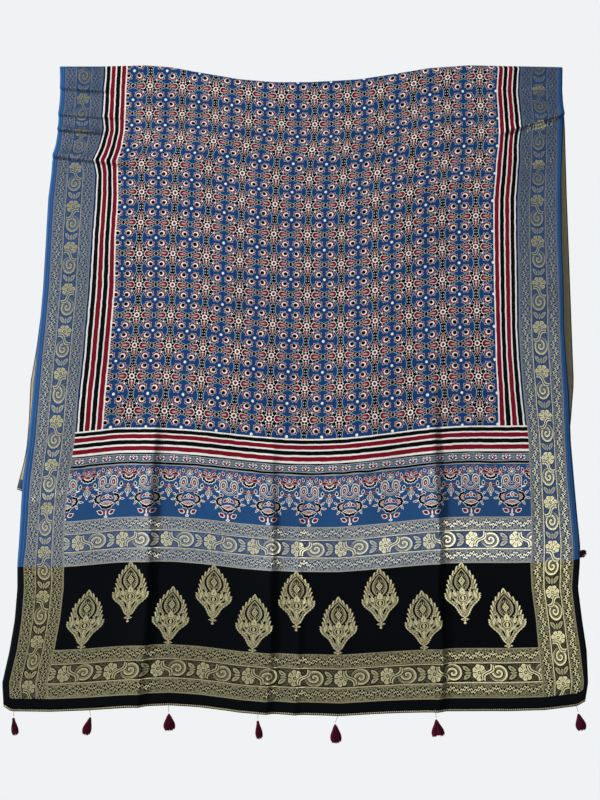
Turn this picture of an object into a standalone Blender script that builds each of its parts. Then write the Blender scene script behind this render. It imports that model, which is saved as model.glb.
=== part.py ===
"""An ajrakh dupatta folded once over a sagging line, with seven tassels on each end.

Metres, +Z up, +X to the viewer's right, the viewer in front at -Y. The origin is the
inside top of the fold at the middle of the cloth, where the line that holds it would run.
"""
import math

import bmesh
import bpy
from mathutils import Vector

# Cloth
CLOTH_THICKNESS = 0.0015
FOLD_RADIUS = 0.0088        # from the line's middle to the middle of the cloth
FOLD_STEPS = 6              # rows round the half circle over the line
TUCK_ZONE = 0.18            # share of the front drop that holds the horizontal tucks
FRONT_TUCK_ROWS = 12
FRONT_LOWER_ROWS = 22
BACK_ROWS = 15
EVEN_COLUMNS = 24
CLOSEST_COLUMNS = 0.018
CORNER_COLUMN = 0.965       # one more column near each side, for the rounded hem corners
FRONT_LEAN = 0.006          # how far the front hem swings forward of the fold
BACK_LEAN = 0.007
LAYER_CLEARANCE = 0.0074    # each layer stays this far from the middle plane
FRONT_DROP = 1.24           # the lean and the waves grow over these drops below the fold
BACK_DROP = 0.90
FRONT_WAVE_DROP = 0.90
BACK_WAVE_DROP = 0.60
TUCK_START = 0.012          # tucks start this far below the fold's half circle
TUCK_FULL = 0.75            # a tuck is full to this share of its half length, then fades
TUCK_GONE = 1.25
PASSES = 6                  # enough for a point to settle between the edges and the hem

# The fold's outer top: it dips in the middle, where the line sags
FOLD_HEIGHT = (
    # across, height
    (-0.49, 0.0345),
    (-0.40, 0.0345),
    (-0.31, 0.0370),
    (-0.26, 0.0330),
    (-0.20, 0.0215),
    (-0.12, 0.0075),
    (-0.05, 0.0015),
    (0.02, 0.0015),
    (0.12, 0.0075),
    (0.20, 0.0205),
    (0.26, 0.0310),
    (0.34, 0.0370),
    (0.53, 0.0330),
)

# The side edges of the front layer, from the fold down
FRONT_SIDES = (
    # height, left edge, right edge
    (0.035, -0.4820, 0.5281),
    (-0.019, -0.4789, 0.5256),
    (-0.072, -0.4810, 0.5270),
    (-0.102, -0.4811, 0.5245),
    (-0.133, -0.4848, 0.5223),
    (-0.166, -0.4903, 0.5203),
    (-0.244, -0.4959, 0.5168),
    (-0.325, -0.4973, 0.5146),
    (-0.426, -0.4996, 0.5143),
    (-0.505, -0.5035, 0.5125),
    (-0.568, -0.5081, 0.5147),
    (-0.632, -0.5117, 0.5175),
    (-0.721, -0.5168, 0.5174),
    (-0.801, -0.5254, 0.5212),
    (-0.863, -0.5267, 0.5246),
    (-0.919, -0.5282, 0.5282),
    (-0.954, -0.5297, 0.5262),
    (-0.997, -0.5281, 0.5214),
    (-1.056, -0.5310, 0.5269),
    (-1.112, -0.5388, 0.5335),
    (-1.170, -0.5501, 0.5341),
    (-1.207, -0.5467, 0.5268),
)

BACK_SIDES = (
    # height, left edge, right edge
    (0.035, -0.4840, 0.5280),
    (-0.080, -0.4850, 0.5340),
    (-0.230, -0.4990, 0.5336),
    (-0.440, -0.5080, 0.5352),
    (-0.538, -0.5176, 0.5360),
    (-0.606, -0.5274, 0.5368),
    (-0.680, -0.5282, 0.5290),
    (-0.734, -0.5310, 0.5220),
    (-0.766, -0.5365, 0.5225),
    (-0.812, -0.5475, 0.5235),
    (-0.930, -0.5480, 0.5280),
)

# The front hem: it rises at the corners and waves with the folds above it
FRONT_HEM = (
    # across, height
    (-0.548, -1.2110),
    (-0.532, -1.2210),
    (-0.460, -1.2215),
    (-0.388, -1.2185),
    (-0.314, -1.2130),
    (-0.240, -1.2115),
    (-0.185, -1.2150),
    (-0.110, -1.2235),
    (0.000, -1.2275),
    (0.074, -1.2300),
    (0.148, -1.2250),
    (0.240, -1.2200),
    (0.388, -1.2216),
    (0.452, -1.2195),
    (0.512, -1.2120),
    (0.532, -1.2010),
)

BACK_HEM = (
    # across, height
    (-0.548, -0.8140),
    (-0.530, -0.8200),
    (-0.300, -0.8350),
    (0.000, -0.8720),
    (0.300, -0.9020),
    (0.528, -0.9310),
)

# Packing folds that run down a warp thread. The column named across is -1 at the left
# edge and 1 at the right one. Each stands towards the viewer and falls off to either side.
PACKING_FOLDS = (
    # across, starts, full, left_width, right_width, height
    (-0.533, -0.55, -0.86, 0.110, 0.028, 0.0085),
    (-0.095, -0.60, -0.98, 0.090, 0.026, 0.0080),
    (0.002, -0.70, -1.05, 0.045, 0.030, 0.0050),
    (0.498, -0.50, -0.86, 0.100, 0.024, 0.0090),
)

# Tucks and creases near the fold: each is a ridge along a straight run, with the width
# of its upper and lower slope. A height below nothing is a hollow.
TUCKS = (
    # start_x, start_z, end_x, end_z, above, below, height
    (-0.500, -0.015, -0.385, -0.023, 0.026, 0.012, 0.0042),
    (-0.500, -0.069, -0.360, -0.079, 0.030, 0.014, 0.0030),
    (-0.500, -0.101, -0.395, -0.110, 0.020, 0.012, 0.0042),
    (-0.510, -0.155, -0.340, -0.176, 0.034, 0.014, 0.0050),
    (0.400, -0.112, 0.535, -0.068, 0.034, 0.014, 0.0060),
    (0.430, -0.185, 0.520, -0.176, 0.036, 0.036, -0.0040),
    (0.100, -0.262, 0.340, -0.205, 0.030, 0.014, 0.0040),
    (-0.320, -0.150, -0.180, -0.176, 0.022, 0.014, 0.0025),
)

# Slow waves of each hanging layer. They only stand outwards, so the space between the
# layers stays open.
FRONT_WAVES = (
    # height, radians_per_metre, phase, slant
    (0.0030, 9.0, 1.3, 1.2),
    (0.0022, 21.0, -0.7, 2.0),
)

BACK_WAVES = (
    # height, radians_per_metre, phase, slant
    (0.0035, 7.0, 0.4, -1.5),
    (0.0020, 17.0, 2.0, 1.1),
)

# Tassels
LOCKS = 8
THREAD_RADIUS = 0.0006
HEAD_RADIUS = 0.0026
HEAD_LENGTH = 0.0065
LOCK_STEPS = 3
LOCK_INSET = 0.00022
FOOT_SHARE = 0.86           # foot of the head against its widest
TASSEL_FLATNESS = 0.62      # depth of a tassel against its width
GAP = 0.0003                # between a thread's end and the hem that it hangs from

# Front tassels by the place of their thread on the hem
FRONT_TASSELS = (
    # hem_x, head_dx, head_drop, tip_dx, tip_drop, width, parting
    (-0.5260, -0.0015, 0.0115, 0.0050, 0.0305, 0.0125, 0.0),
    (-0.3875, 0.0028, 0.0125, -0.0083, 0.0305, 0.0160, 0.0),
    (-0.2430, 0.0011, 0.0150, 0.0018, 0.0295, 0.0212, 0.0),
    (-0.0763, -0.0007, 0.0115, 0.0035, 0.0317, 0.0130, 0.0),
    (0.0717, -0.0063, 0.0147, 0.0017, 0.0326, 0.0203, 0.0),
    (0.2484, 0.0009, 0.0120, 0.0035, 0.0292, 0.0190, 0.0080),
    (0.5100, 0.0042, 0.0136, 0.0052, 0.0292, 0.0194, 0.0),
)

BACK_TASSELS = (
    # hem_x, head_dx, head_drop, tip_dx, tip_drop, width, parting
    (-0.5200, 0.0010, 0.0125, 0.0030, 0.0305, 0.0150, 0.0),
    (-0.3750, -0.0020, 0.0120, -0.0030, 0.0310, 0.0135, 0.0),
    (-0.2150, 0.0015, 0.0140, 0.0040, 0.0300, 0.0180, 0.0030),
    (-0.0550, -0.0010, 0.0120, -0.0045, 0.0310, 0.0160, 0.0),
    (0.1100, 0.0020, 0.0130, 0.0025, 0.0300, 0.0190, 0.0),
    (0.2900, -0.0012, 0.0125, -0.0030, 0.0305, 0.0140, 0.0),
    (0.5180, 0.0130, 0.0060, 0.0240, 0.0035, 0.0130, 0.0),
)
CORNER_TASSEL_SWING = 0.016  # the last back tassel is blown out sideways and backwards


def clear_scene():
    """Remove what a new file starts with."""
    for item in list(bpy.data.objects):
        bpy.data.objects.remove(item, do_unlink=True)


def make_collection(name):
    """Make a collection and link it to the scene."""
    group = bpy.data.collections.new(name)
    bpy.context.scene.collection.children.link(group)
    return group


def make_material(name, color, roughness, metallic=0.0):
    """Make a plain principled material."""
    material = bpy.data.materials.new(name)
    material.use_nodes = True
    shader = material.node_tree.nodes["Principled BSDF"]
    shader.inputs["Base Color"].default_value = (*color, 1.0)
    shader.inputs["Roughness"].default_value = roughness
    shader.inputs["Metallic"].default_value = metallic
    return material


def ease(value):
    """Go from 0 to 1 with flat ends."""
    value = min(max(value, 0.0), 1.0)
    return value * value * (3.0 - 2.0 * value)


def read_row(table, key):
    """Read a table whose first column rises or falls, straight between its rows."""
    rising = table[-1][0] > table[0][0]
    rows = table if rising else table[::-1]
    if key <= rows[0][0]:
        return rows[0][1:]
    for low, high in zip(rows, rows[1:]):
        if key <= high[0]:
            share = (key - low[0]) / (high[0] - low[0])
            return [a + share * (b - a) for a, b in zip(low[1:], high[1:])]
    return rows[-1][1:]


def fold_axis(x):
    """Height of the middle of the half circle that the cloth makes over the line."""
    return read_row(FOLD_HEIGHT, x)[0] - CLOTH_THICKNESS / 2 - FOLD_RADIUS


def packing_folds(across, z, half_width):
    """How far the packing folds push the cloth towards the viewer."""
    push = 0.0
    for line, starts, full, left_width, right_width, height in PACKING_FOLDS:
        offset = (across - line) * half_width
        width = left_width if offset < 0 else right_width
        near = max(0.0, 1.0 - abs(offset) / width)
        push += height * near * near * ease((starts - z) / (starts - full))
    return push


def tucks(x, z):
    """How far the tucks near the fold push the cloth towards the viewer."""
    push = 0.0
    for start_x, start_z, end_x, end_z, above, below, height in TUCKS:
        share = (x - start_x) / (end_x - start_x)
        line_z = start_z + min(max(share, 0.0), 1.0) * (end_z - start_z)
        width = above if z > line_z else below
        near = max(0.0, 1.0 - abs(z - line_z) / width)
        ends = ease((TUCK_GONE - abs(2.0 * share - 1.0)) / (TUCK_GONE - TUCK_FULL))
        push += height * near * near * ends
    return push


def waves(table, x, z):
    """How far a layer's slow waves push it out: nothing in a trough, twice height on a crest."""
    push = 0.0
    for height, turns, phase, slant in table:
        push += height * (1.0 + math.sin(turns * x + phase + slant * z))
    return push


def front_y(across, x, z, half_width):
    """Depth of the front layer's middle surface."""
    hang = max(0.0, fold_axis(x) - z)
    push = FRONT_LEAN * ease(hang / FRONT_DROP)
    push += waves(FRONT_WAVES, x, z) * ease(hang / FRONT_WAVE_DROP)
    push += packing_folds(across, z, half_width)
    push += tucks(x, z) * ease(hang / TUCK_START)
    return -max(FOLD_RADIUS + push, LAYER_CLEARANCE)


def back_y(x, z):
    """Depth of the back layer's middle surface."""
    hang = max(0.0, fold_axis(x) - z)
    push = BACK_LEAN * ease(hang / BACK_DROP)
    push += waves(BACK_WAVES, x, z) * ease(hang / BACK_WAVE_DROP)
    return max(FOLD_RADIUS + push, LAYER_CLEARANCE)


def layer_point(across, share, sides, hem, front):
    """A point on a hanging layer: share is 0 at the fold and 1 at the hem."""
    x = across * 0.5
    z = 0.0
    for _ in range(PASSES):
        top = fold_axis(x)
        z = top + share * (read_row(hem, x)[0] - top)
        left, right = read_row(sides, z)
        x = left + (across + 1.0) / 2.0 * (right - left)
    half_width = (right - left) / 2.0
    y = front_y(across, x, z, half_width) if front else back_y(x, z)
    return Vector((x, y, z))


def fold_point(across, turn):
    """A point on the half circle over the line: turn is 0 in front and 1 behind."""
    front = layer_point(across, 0.0, FRONT_SIDES, FRONT_HEM, True)
    behind = layer_point(across, 0.0, BACK_SIDES, BACK_HEM, False)
    x = front.x + turn * (behind.x - front.x)
    angle = math.pi * turn
    height = fold_axis(x) + FOLD_RADIUS * math.sin(angle)
    return Vector((x, -FOLD_RADIUS * math.cos(angle), height))


def row_stations():
    """Rows of the cloth, from the front hem over the line to the back hem."""
    lower = [1.0 - i / FRONT_LOWER_ROWS * (1.0 - TUCK_ZONE) for i in range(FRONT_LOWER_ROWS)]
    upper = [TUCK_ZONE * (1.0 - i / FRONT_TUCK_ROWS) for i in range(FRONT_TUCK_ROWS)]
    over = [i / FOLD_STEPS for i in range(FOLD_STEPS + 1)]
    behind = [(i + 1) / BACK_ROWS for i in range(BACK_ROWS)]
    rows = [("front", share) for share in lower + upper]
    rows += [("fold", share) for share in over]
    return rows + [("back", share) for share in behind]


def column_stations():
    """Columns of the cloth: even ones, with one on and one beside each packing fold."""
    columns = [2.0 * i / EVEN_COLUMNS - 1.0 for i in range(EVEN_COLUMNS + 1)]
    columns += [-CORNER_COLUMN, CORNER_COLUMN]
    half_width = (FRONT_SIDES[-1][2] - FRONT_SIDES[-1][1]) / 2.0
    for line, _, _, _, right_width, _ in PACKING_FOLDS:
        for station in (line, line + right_width / half_width):
            columns = [c for c in columns if abs(c - station) > CLOSEST_COLUMNS]
            columns.append(station)
    return sorted(columns)


def cloth_point(across, row):
    """Where a point of the flat grid goes on the hung cloth."""
    kind, share = row
    if kind == "fold":
        return fold_point(across, share)
    if kind == "front":
        return layer_point(across, share, FRONT_SIDES, FRONT_HEM, True)
    return layer_point(across, share, BACK_SIDES, BACK_HEM, False)


def build_cloth(group):
    """The whole cloth: a flat grid laid over the line, with its thickness."""
    columns = column_stations()
    rows = row_stations()
    mesh = bpy.data.meshes.new("cloth")
    bm = bmesh.new()
    bmesh.ops.create_grid(bm, x_segments=len(columns) - 1, y_segments=len(rows) - 1, size=1.0)
    for vertex in bm.verts:
        column = round((vertex.co.x + 1.0) / 2.0 * (len(columns) - 1))
        row = round((vertex.co.y + 1.0) / 2.0 * (len(rows) - 1))
        vertex.co = cloth_point(columns[column], rows[row])
    bmesh.ops.recalc_face_normals(bm, faces=bm.faces)
    bm.to_mesh(mesh)
    bm.free()
    mesh.shade_smooth()
    mesh.materials.append(make_material("modal_silk", (0.035, 0.11, 0.28), 0.7))
    cloth = bpy.data.objects.new("cloth", mesh)
    group.objects.link(cloth)
    shell = cloth.modifiers.new("thickness", "SOLIDIFY")
    shell.thickness = CLOTH_THICKNESS
    shell.offset = 0.0
    return cloth


def tassel_profile(head_drop):
    """Rings from the thread's top to the foot of the head: how far down, and how wide."""
    return (
        (0.0, THREAD_RADIUS),
        (head_drop * 0.55, THREAD_RADIUS),
        (head_drop, THREAD_RADIUS * 1.3),
        (head_drop + HEAD_LENGTH * 0.30, HEAD_RADIUS * 0.90),
        (head_drop + HEAD_LENGTH * 0.62, HEAD_RADIUS),
        (head_drop + HEAD_LENGTH, HEAD_RADIUS * FOOT_SHARE),
    )


def lock_size(share, spread, uneven):
    """How many times wider a lock is than its root, at a share of its length."""
    return 1.0 + spread * share ** 0.8 * (1.0 + 0.10 * uneven)


def grow_locks(bm, foot, start, length, width, parting):
    """Split the head's foot into wedges and draw each one out to a hanging lock."""
    wedges = bmesh.ops.poke(bm, faces=[foot])["faces"]
    bmesh.ops.inset_individual(bm, faces=wedges, thickness=LOCK_INSET, use_even_offset=True)
    spread = width / 2.0 / (HEAD_RADIUS * FOOT_SHARE) - 1.0
    for step in range(1, LOCK_STEPS + 1):
        share = step / LOCK_STEPS
        before = (step - 1) / LOCK_STEPS
        wedges = bmesh.ops.extrude_discrete_faces(bm, faces=wedges)["faces"]
        for wedge in wedges:
            middle = wedge.calc_center_median()
            number = math.floor(math.atan2(middle.y, middle.x) * LOCKS / (2.0 * math.pi))
            uneven = math.sin(2.4 * number + 40.0 * width)
            growth = lock_size(share, spread, uneven) / lock_size(before, spread, uneven)
            for vertex in wedge.verts:
                vertex.co.x *= growth
                vertex.co.y *= growth
                vertex.co.z = start - length * share * (1.0 - 0.06 * uneven)
    for vertex in bm.verts:
        if vertex.co.z < start and vertex.co.x > 0.0:
            vertex.co.x += parting * ((start - vertex.co.z) / length) ** 2


def bend_tassel(bm, head, tip, head_length_along):
    """Lay the straight tassel along its own way: the thread to the head, then to the tip."""
    straight = Vector((0.0, 0.0, -1.0))
    thread_turn = straight.rotation_difference(head)
    body_turn = straight.rotation_difference(tip)
    for vertex in bm.verts:
        down = -vertex.co.z
        aside = Vector((vertex.co.x, vertex.co.y * TASSEL_FLATNESS, 0.0))
        if down < head_length_along * 0.999:
            vertex.co = head * (down / head_length_along) + thread_turn @ aside
        else:
            past = down - head_length_along
            vertex.co = head + tip.normalized() * past + body_turn @ aside


def build_tassel(name, root, row, swing, group, material):
    """One tassel: thread, head and locks as one body, hanging from its place on the hem."""
    _, head_dx, head_drop, tip_dx, tip_drop, width, parting = row
    head = Vector((head_dx, swing * 0.3, -head_drop))
    tip = Vector((tip_dx, swing, -tip_drop))
    tilt = head.xy.length / head.length
    root = root - Vector((0.0, 0.0, THREAD_RADIUS * tilt))
    rings = tassel_profile(head.length)
    bm = bmesh.new()
    bmesh.ops.create_cone(
        bm, cap_ends=True, segments=LOCKS, radius1=rings[1][1], radius2=rings[0][1],
        depth=rings[1][0])
    bmesh.ops.translate(bm, verts=bm.verts, vec=(0.0, 0.0, -rings[1][0] / 2.0))
    foot = min(bm.faces, key=lambda face: face.calc_center_median().z)
    for (_, old_radius), (down, radius) in zip(rings[1:], rings[2:]):
        foot = bmesh.ops.extrude_discrete_faces(bm, faces=[foot])["faces"][0]
        for vertex in foot.verts:
            vertex.co.x *= radius / old_radius
            vertex.co.y *= radius / old_radius
            vertex.co.z = -down
    grow_locks(bm, foot, -rings[-1][0], tip.length - HEAD_LENGTH, width, parting)
    bend_tassel(bm, head, tip, head.length)
    bmesh.ops.translate(bm, verts=bm.verts, vec=root)
    bmesh.ops.recalc_face_normals(bm, faces=bm.faces)
    mesh = bpy.data.meshes.new(name)
    bm.to_mesh(mesh)
    bm.free()
    mesh.materials.append(material)
    tassel = bpy.data.objects.new(name, mesh)
    group.objects.link(tassel)
    return tassel


def hem_root(hem_x, sides, hem, front):
    """The point just under the hem, straight between its two nearest columns."""
    points = [layer_point(across, 1.0, sides, hem, front) for across in column_stations()]
    for left, right in zip(points, points[1:]):
        if hem_x <= right.x:
            return left.lerp(right, (hem_x - left.x) / (right.x - left.x)) - Vector((0, 0, GAP))
    return points[-1]


def build_tassels(group):
    """Seven tassels on the front hem and seven on the back one."""
    thread = make_material("tassel_yarn", (0.13, 0.006, 0.025), 0.85)
    for number, row in enumerate(FRONT_TASSELS, start=1):
        root = hem_root(row[0], FRONT_SIDES, FRONT_HEM, True)
        build_tassel(f"tassel_front_{number}", root, row, 0.0, group, thread)
    for number, row in enumerate(BACK_TASSELS, start=1):
        root = hem_root(row[0], BACK_SIDES, BACK_HEM, False)
        swing = CORNER_TASSEL_SWING if number == len(BACK_TASSELS) else 0.0
        build_tassel(f"tassel_back_{number}", root, row, swing, group, thread)


def main():
    """Build the cloth and its tassels."""
    clear_scene()
    group = make_collection("ajrakh_cloth")
    build_cloth(group)
    build_tassels(group)


main()
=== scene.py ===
# %% [markdown]
# # A hanging ajrakh cloth
# This lesson dresses a imported CAD part: a long dupatta of modal silk, block printed with
# ajrakh, with woven zari borders and tassels, folded over a slack line. The CAD part is the
# frame. It carries plain solids, and each of them is replaced here by a finer piece.
#
# First the imported part is loaded.

import math
import random

import bpy
import numpy as np
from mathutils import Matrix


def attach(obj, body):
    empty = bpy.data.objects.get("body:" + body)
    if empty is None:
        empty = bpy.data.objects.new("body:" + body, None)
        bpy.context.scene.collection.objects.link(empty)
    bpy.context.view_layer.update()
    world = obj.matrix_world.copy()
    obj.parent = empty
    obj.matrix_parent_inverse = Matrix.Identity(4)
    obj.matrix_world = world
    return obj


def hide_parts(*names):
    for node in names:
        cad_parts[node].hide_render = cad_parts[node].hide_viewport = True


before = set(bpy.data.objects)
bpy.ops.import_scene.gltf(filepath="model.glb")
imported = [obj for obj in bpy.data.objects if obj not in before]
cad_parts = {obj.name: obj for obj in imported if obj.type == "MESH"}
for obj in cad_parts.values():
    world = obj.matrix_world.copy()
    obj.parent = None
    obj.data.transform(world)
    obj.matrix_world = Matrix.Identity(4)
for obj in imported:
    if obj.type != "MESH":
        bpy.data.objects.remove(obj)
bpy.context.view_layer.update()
print("CAD nodes:", sorted(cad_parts))

# %% [markdown]
# ## The camera
# The photograph looks slightly upwards from the height of the pattern's lower third. A lens
# is a focal length for a sensor size. On a picture 800 points high, a focal length of
# 870 points is 870 x 36 / 800 mm on a 36 mm sensor.

# %% Camera
SENSOR = 36.0
FOCAL_POINTS = 870.0
PICTURE_HEIGHT = 800.0
CAMERA_PLACE = (0.0006, -1.6759, -0.8185)
CAMERA_PITCH = math.radians(6.02)

lens = bpy.data.cameras.new("camera")
lens.sensor_width = SENSOR
lens.lens = FOCAL_POINTS * SENSOR / PICTURE_HEIGHT
camera = bpy.data.objects.new("camera", lens)
camera.location = CAMERA_PLACE
camera.rotation_euler = (math.pi / 2 + CAMERA_PITCH, 0.0, 0.0)
bpy.context.scene.collection.objects.link(camera)
bpy.context.scene.camera = camera
print(f"lens {lens.lens:.2f} mm")

# %% [markdown]
# ## How the cloth is laid out before it is hung
# All patterns are drawn on the flat cloth, in metres: *across* runs from one selvedge to
# the other with 0 in the middle, and *along* starts where the cloth turns over the line,
# and grows down the front. Both ends have the same bands, measured up from their hem.

# %% Flat layout
HALF_WIDTH = 0.540
FRONT_LENGTH = 1.3045       # from the fold to the front hem
BACK_LENGTH = 0.900
SELVEDGE = 0.5275           # across: where each strip starts, from the edge inwards
ZARI_INNER = 0.448
PRINT_OUTER = 0.444
FIELD_EDGE = 0.393
HEM_STRIP = 0.0235          # up from the hem: where each band of an end stops
BLACK_ZARI = 0.1135
BLACK_GROUND = 0.2695
BLUE_ZARI = 0.3555
PAISLEY_ROW = 0.455
FLOWER_BAND = 0.479
STRIPE_BAND = 0.528
ENDS_MIDDLE = (FRONT_LENGTH - BACK_LENGTH) / 2.0
ENDS_HALF = (FRONT_LENGTH + BACK_LENGTH) / 2.0
print(f"flat cloth {2 * HALF_WIDTH:.2f} x {FRONT_LENGTH + BACK_LENGTH:.2f} m")

# %% [markdown]
# ## The same drape as the solid
# A cloth over a line is one sheet, so its drape is a function: a point of the flat cloth
# goes in, and its place in the room comes out. The tables below say where the fold, the
# edges and the hems run, as in the CAD source. Heights are metres up from the line.

# %% Tables of the drape
CLOTH_THICKNESS = 0.0015
FOLD_RADIUS = 0.0088
FRONT_LEAN = 0.006
BACK_LEAN = 0.007
LAYER_CLEARANCE = 0.0074
FRONT_DROP = 1.24
BACK_DROP = 0.90
FRONT_WAVE_DROP = 0.90
BACK_WAVE_DROP = 0.60
TUCK_START = 0.012
TUCK_FULL = 0.75
TUCK_GONE = 1.25

FOLD_HEIGHT = (
    # x, height of the fold's outer top
    (-0.49, 0.0345),
    (-0.40, 0.0345),
    (-0.31, 0.0370),
    (-0.26, 0.0330),
    (-0.20, 0.0215),
    (-0.12, 0.0075),
    (-0.05, 0.0015),
    (0.02, 0.0015),
    (0.12, 0.0075),
    (0.20, 0.0205),
    (0.26, 0.0310),
    (0.34, 0.0370),
    (0.53, 0.0330),
)

# How wide apart the long strips of the front hang at each height
WARP_KNOTS = (-HALF_WIDTH, -SELVEDGE, -PRINT_OUTER, -FIELD_EDGE,
              FIELD_EDGE, PRINT_OUTER, SELVEDGE, HALF_WIDTH)
WARP_LINES = (
    # height, then x of each knot from the left edge to the right edge
    (0.035, -0.4820, -0.4709, -0.3890, -0.3451, 0.3989, 0.4407, 0.5194, 0.5281),
    (-0.019, -0.4789, -0.4688, -0.3910, -0.3469, 0.3938, 0.4356, 0.5158, 0.5256),
    (-0.072, -0.4810, -0.4710, -0.3921, -0.3475, 0.3961, 0.4392, 0.5166, 0.5270),
    (-0.102, -0.4811, -0.4721, -0.3889, -0.3480, 0.3963, 0.4390, 0.5132, 0.5245),
    (-0.133, -0.4848, -0.4743, -0.3963, -0.3525, 0.3949, 0.4341, 0.5117, 0.5223),
    (-0.166, -0.4903, -0.4798, -0.4073, -0.3602, 0.3898, 0.4339, 0.5114, 0.5203),
    (-0.193, -0.4914, -0.4809, -0.4012, -0.3600, 0.3876, 0.4312, 0.5087, 0.5182),
    (-0.244, -0.4959, -0.4846, -0.4018, -0.3580, 0.3819, 0.4258, 0.5064, 0.5168),
    (-0.325, -0.4973, -0.4865, -0.4052, -0.3611, 0.3800, 0.4238, 0.5046, 0.5146),
    (-0.426, -0.4996, -0.4879, -0.4079, -0.3601, 0.3786, 0.4227, 0.5055, 0.5143),
    (-0.505, -0.5035, -0.4919, -0.4123, -0.3644, 0.3789, 0.4208, 0.5040, 0.5125),
    (-0.568, -0.5081, -0.4960, -0.4154, -0.3682, 0.3785, 0.4227, 0.5045, 0.5147),
    (-0.632, -0.5117, -0.4992, -0.4209, -0.3724, 0.3804, 0.4259, 0.5062, 0.5175),
    (-0.721, -0.5168, -0.5034, -0.4246, -0.3768, 0.3806, 0.4332, 0.5060, 0.5174),
    (-0.801, -0.5254, -0.5109, -0.4341, -0.3842, 0.3804, 0.4341, 0.5080, 0.5212),
    (-0.863, -0.5267, -0.5123, -0.4386, -0.3882, 0.3807, 0.4337, 0.5124, 0.5246),
    (-0.919, -0.5282, -0.5142, -0.4395, -0.3886, 0.3811, 0.4329, 0.5151, 0.5282),
    (-0.954, -0.5297, -0.5179, -0.4377, -0.3876, 0.3782, 0.4298, 0.5138, 0.5262),
    (-0.997, -0.5281, -0.5154, -0.4371, -0.3865, 0.3790, 0.4306, 0.5095, 0.5214),
    (-1.056, -0.5310, -0.5181, -0.4424, -0.3924, 0.3849, 0.4372, 0.5149, 0.5269),
    (-1.112, -0.5388, -0.5250, -0.4517, -0.4001, 0.3871, 0.4407, 0.5212, 0.5335),
    (-1.170, -0.5501, -0.5373, -0.4624, -0.4114, 0.3929, 0.4457, 0.5261, 0.5341),
    (-1.207, -0.5467, -0.5340, -0.4601, -0.4102, 0.3918, 0.4453, 0.5194, 0.5268),
)

BACK_SIDES = (
    # height, left edge, right edge
    (0.035, -0.4840, 0.5280),
    (-0.080, -0.4850, 0.5340),
    (-0.230, -0.4990, 0.5336),
    (-0.440, -0.5080, 0.5352),
    (-0.538, -0.5176, 0.5360),
    (-0.606, -0.5274, 0.5368),
    (-0.680, -0.5282, 0.5290),
    (-0.734, -0.5310, 0.5220),
    (-0.766, -0.5365, 0.5225),
    (-0.812, -0.5475, 0.5235),
    (-0.930, -0.5480, 0.5280),
)

# How high the printed rows hang: a height at the left, a dip in the middle, a rise at the
# right and a droop near the left edge
LEVELS = (
    # along, height, dip, right_rise, left_droop
    (0.0550, -0.0100, 0.0240, 0.0200, 0.0),
    (0.1175, -0.0680, 0.0230, 0.0160, 0.0),
    (0.1800, -0.1160, 0.0265, 0.0120, 0.0),
    (0.2425, -0.1720, 0.0310, 0.0060, 0.0),
    (0.3050, -0.2290, 0.0290, 0.0120, 0.0),
    (0.4925, -0.4160, 0.0215, 0.0130, 0.0),
    (0.6800, -0.5970, 0.0240, 0.0, 0.004),
    (0.7425, -0.6640, 0.0175, 0.0025, 0.008),
    (0.7765, -0.6965, 0.0220, 0.0040, 0.010),
)
DIP_MIDDLE, DIP_HALF = 0.02, 0.31
RISE_START, RISE_WIDTH = 0.10, 0.25
DROOP_START, DROOP_WIDTH = -0.33, 0.12

FRONT_HEM = (
    # x, height
    (-0.548, -1.2110),
    (-0.532, -1.2210),
    (-0.460, -1.2215),
    (-0.388, -1.2185),
    (-0.314, -1.2130),
    (-0.240, -1.2115),
    (-0.185, -1.2150),
    (-0.110, -1.2235),
    (0.000, -1.2275),
    (0.074, -1.2300),
    (0.148, -1.2250),
    (0.240, -1.2200),
    (0.388, -1.2216),
    (0.452, -1.2195),
    (0.512, -1.2120),
    (0.532, -1.2010),
)

BACK_HEM = (
    # x, height
    (-0.548, -0.8140),
    (-0.530, -0.8200),
    (-0.300, -0.8350),
    (0.000, -0.8720),
    (0.300, -0.9020),
    (0.528, -0.9310),
)

PACKING_FOLDS = (
    # across share, starts, full, left_width, right_width, height
    (-0.533, -0.55, -0.86, 0.110, 0.020, 0.0115),
    (-0.095, -0.60, -0.98, 0.090, 0.016, 0.0100),
    (0.002, -0.70, -1.05, 0.045, 0.020, 0.0065),
    (0.498, -0.50, -0.86, 0.100, 0.014, 0.0120),
)

TUCKS = (
    # start_x, start_z, end_x, end_z, above, below, height
    (-0.500, -0.015, -0.385, -0.023, 0.026, 0.0044, 0.0060),
    (-0.500, -0.069, -0.360, -0.079, 0.030, 0.0060, 0.0046),
    (-0.500, -0.101, -0.395, -0.110, 0.020, 0.0044, 0.0060),
    (-0.510, -0.155, -0.340, -0.176, 0.034, 0.0056, 0.0072),
    (0.400, -0.112, 0.535, -0.068, 0.034, 0.0050, 0.0080),
    (0.430, -0.185, 0.520, -0.176, 0.036, 0.036, -0.0040),
    (0.100, -0.262, 0.340, -0.205, 0.030, 0.014, 0.0040),
    (-0.320, -0.150, -0.180, -0.176, 0.022, 0.014, 0.0025),
)

FRONT_WAVES = (
    # height, radians_per_metre, phase, slant
    (0.0030, 9.0, 1.3, 1.2),
    (0.0022, 21.0, -0.7, 2.0),
)

BACK_WAVES = (
    # height, radians_per_metre, phase, slant
    (0.0035, 7.0, 0.4, -1.5),
    (0.0020, 17.0, 2.0, 1.1),
)

# %% [markdown]
# ## Small creases that only the thin cloth has
# The solid has the main folds. The thin cloth on top also has finer creases: sharp press
# lines, and shallow rumples where the woven gold is stiffer than the silk beside it. Each
# row is a soft ridge along a straight run, or a trough where its height is below nothing.

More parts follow.
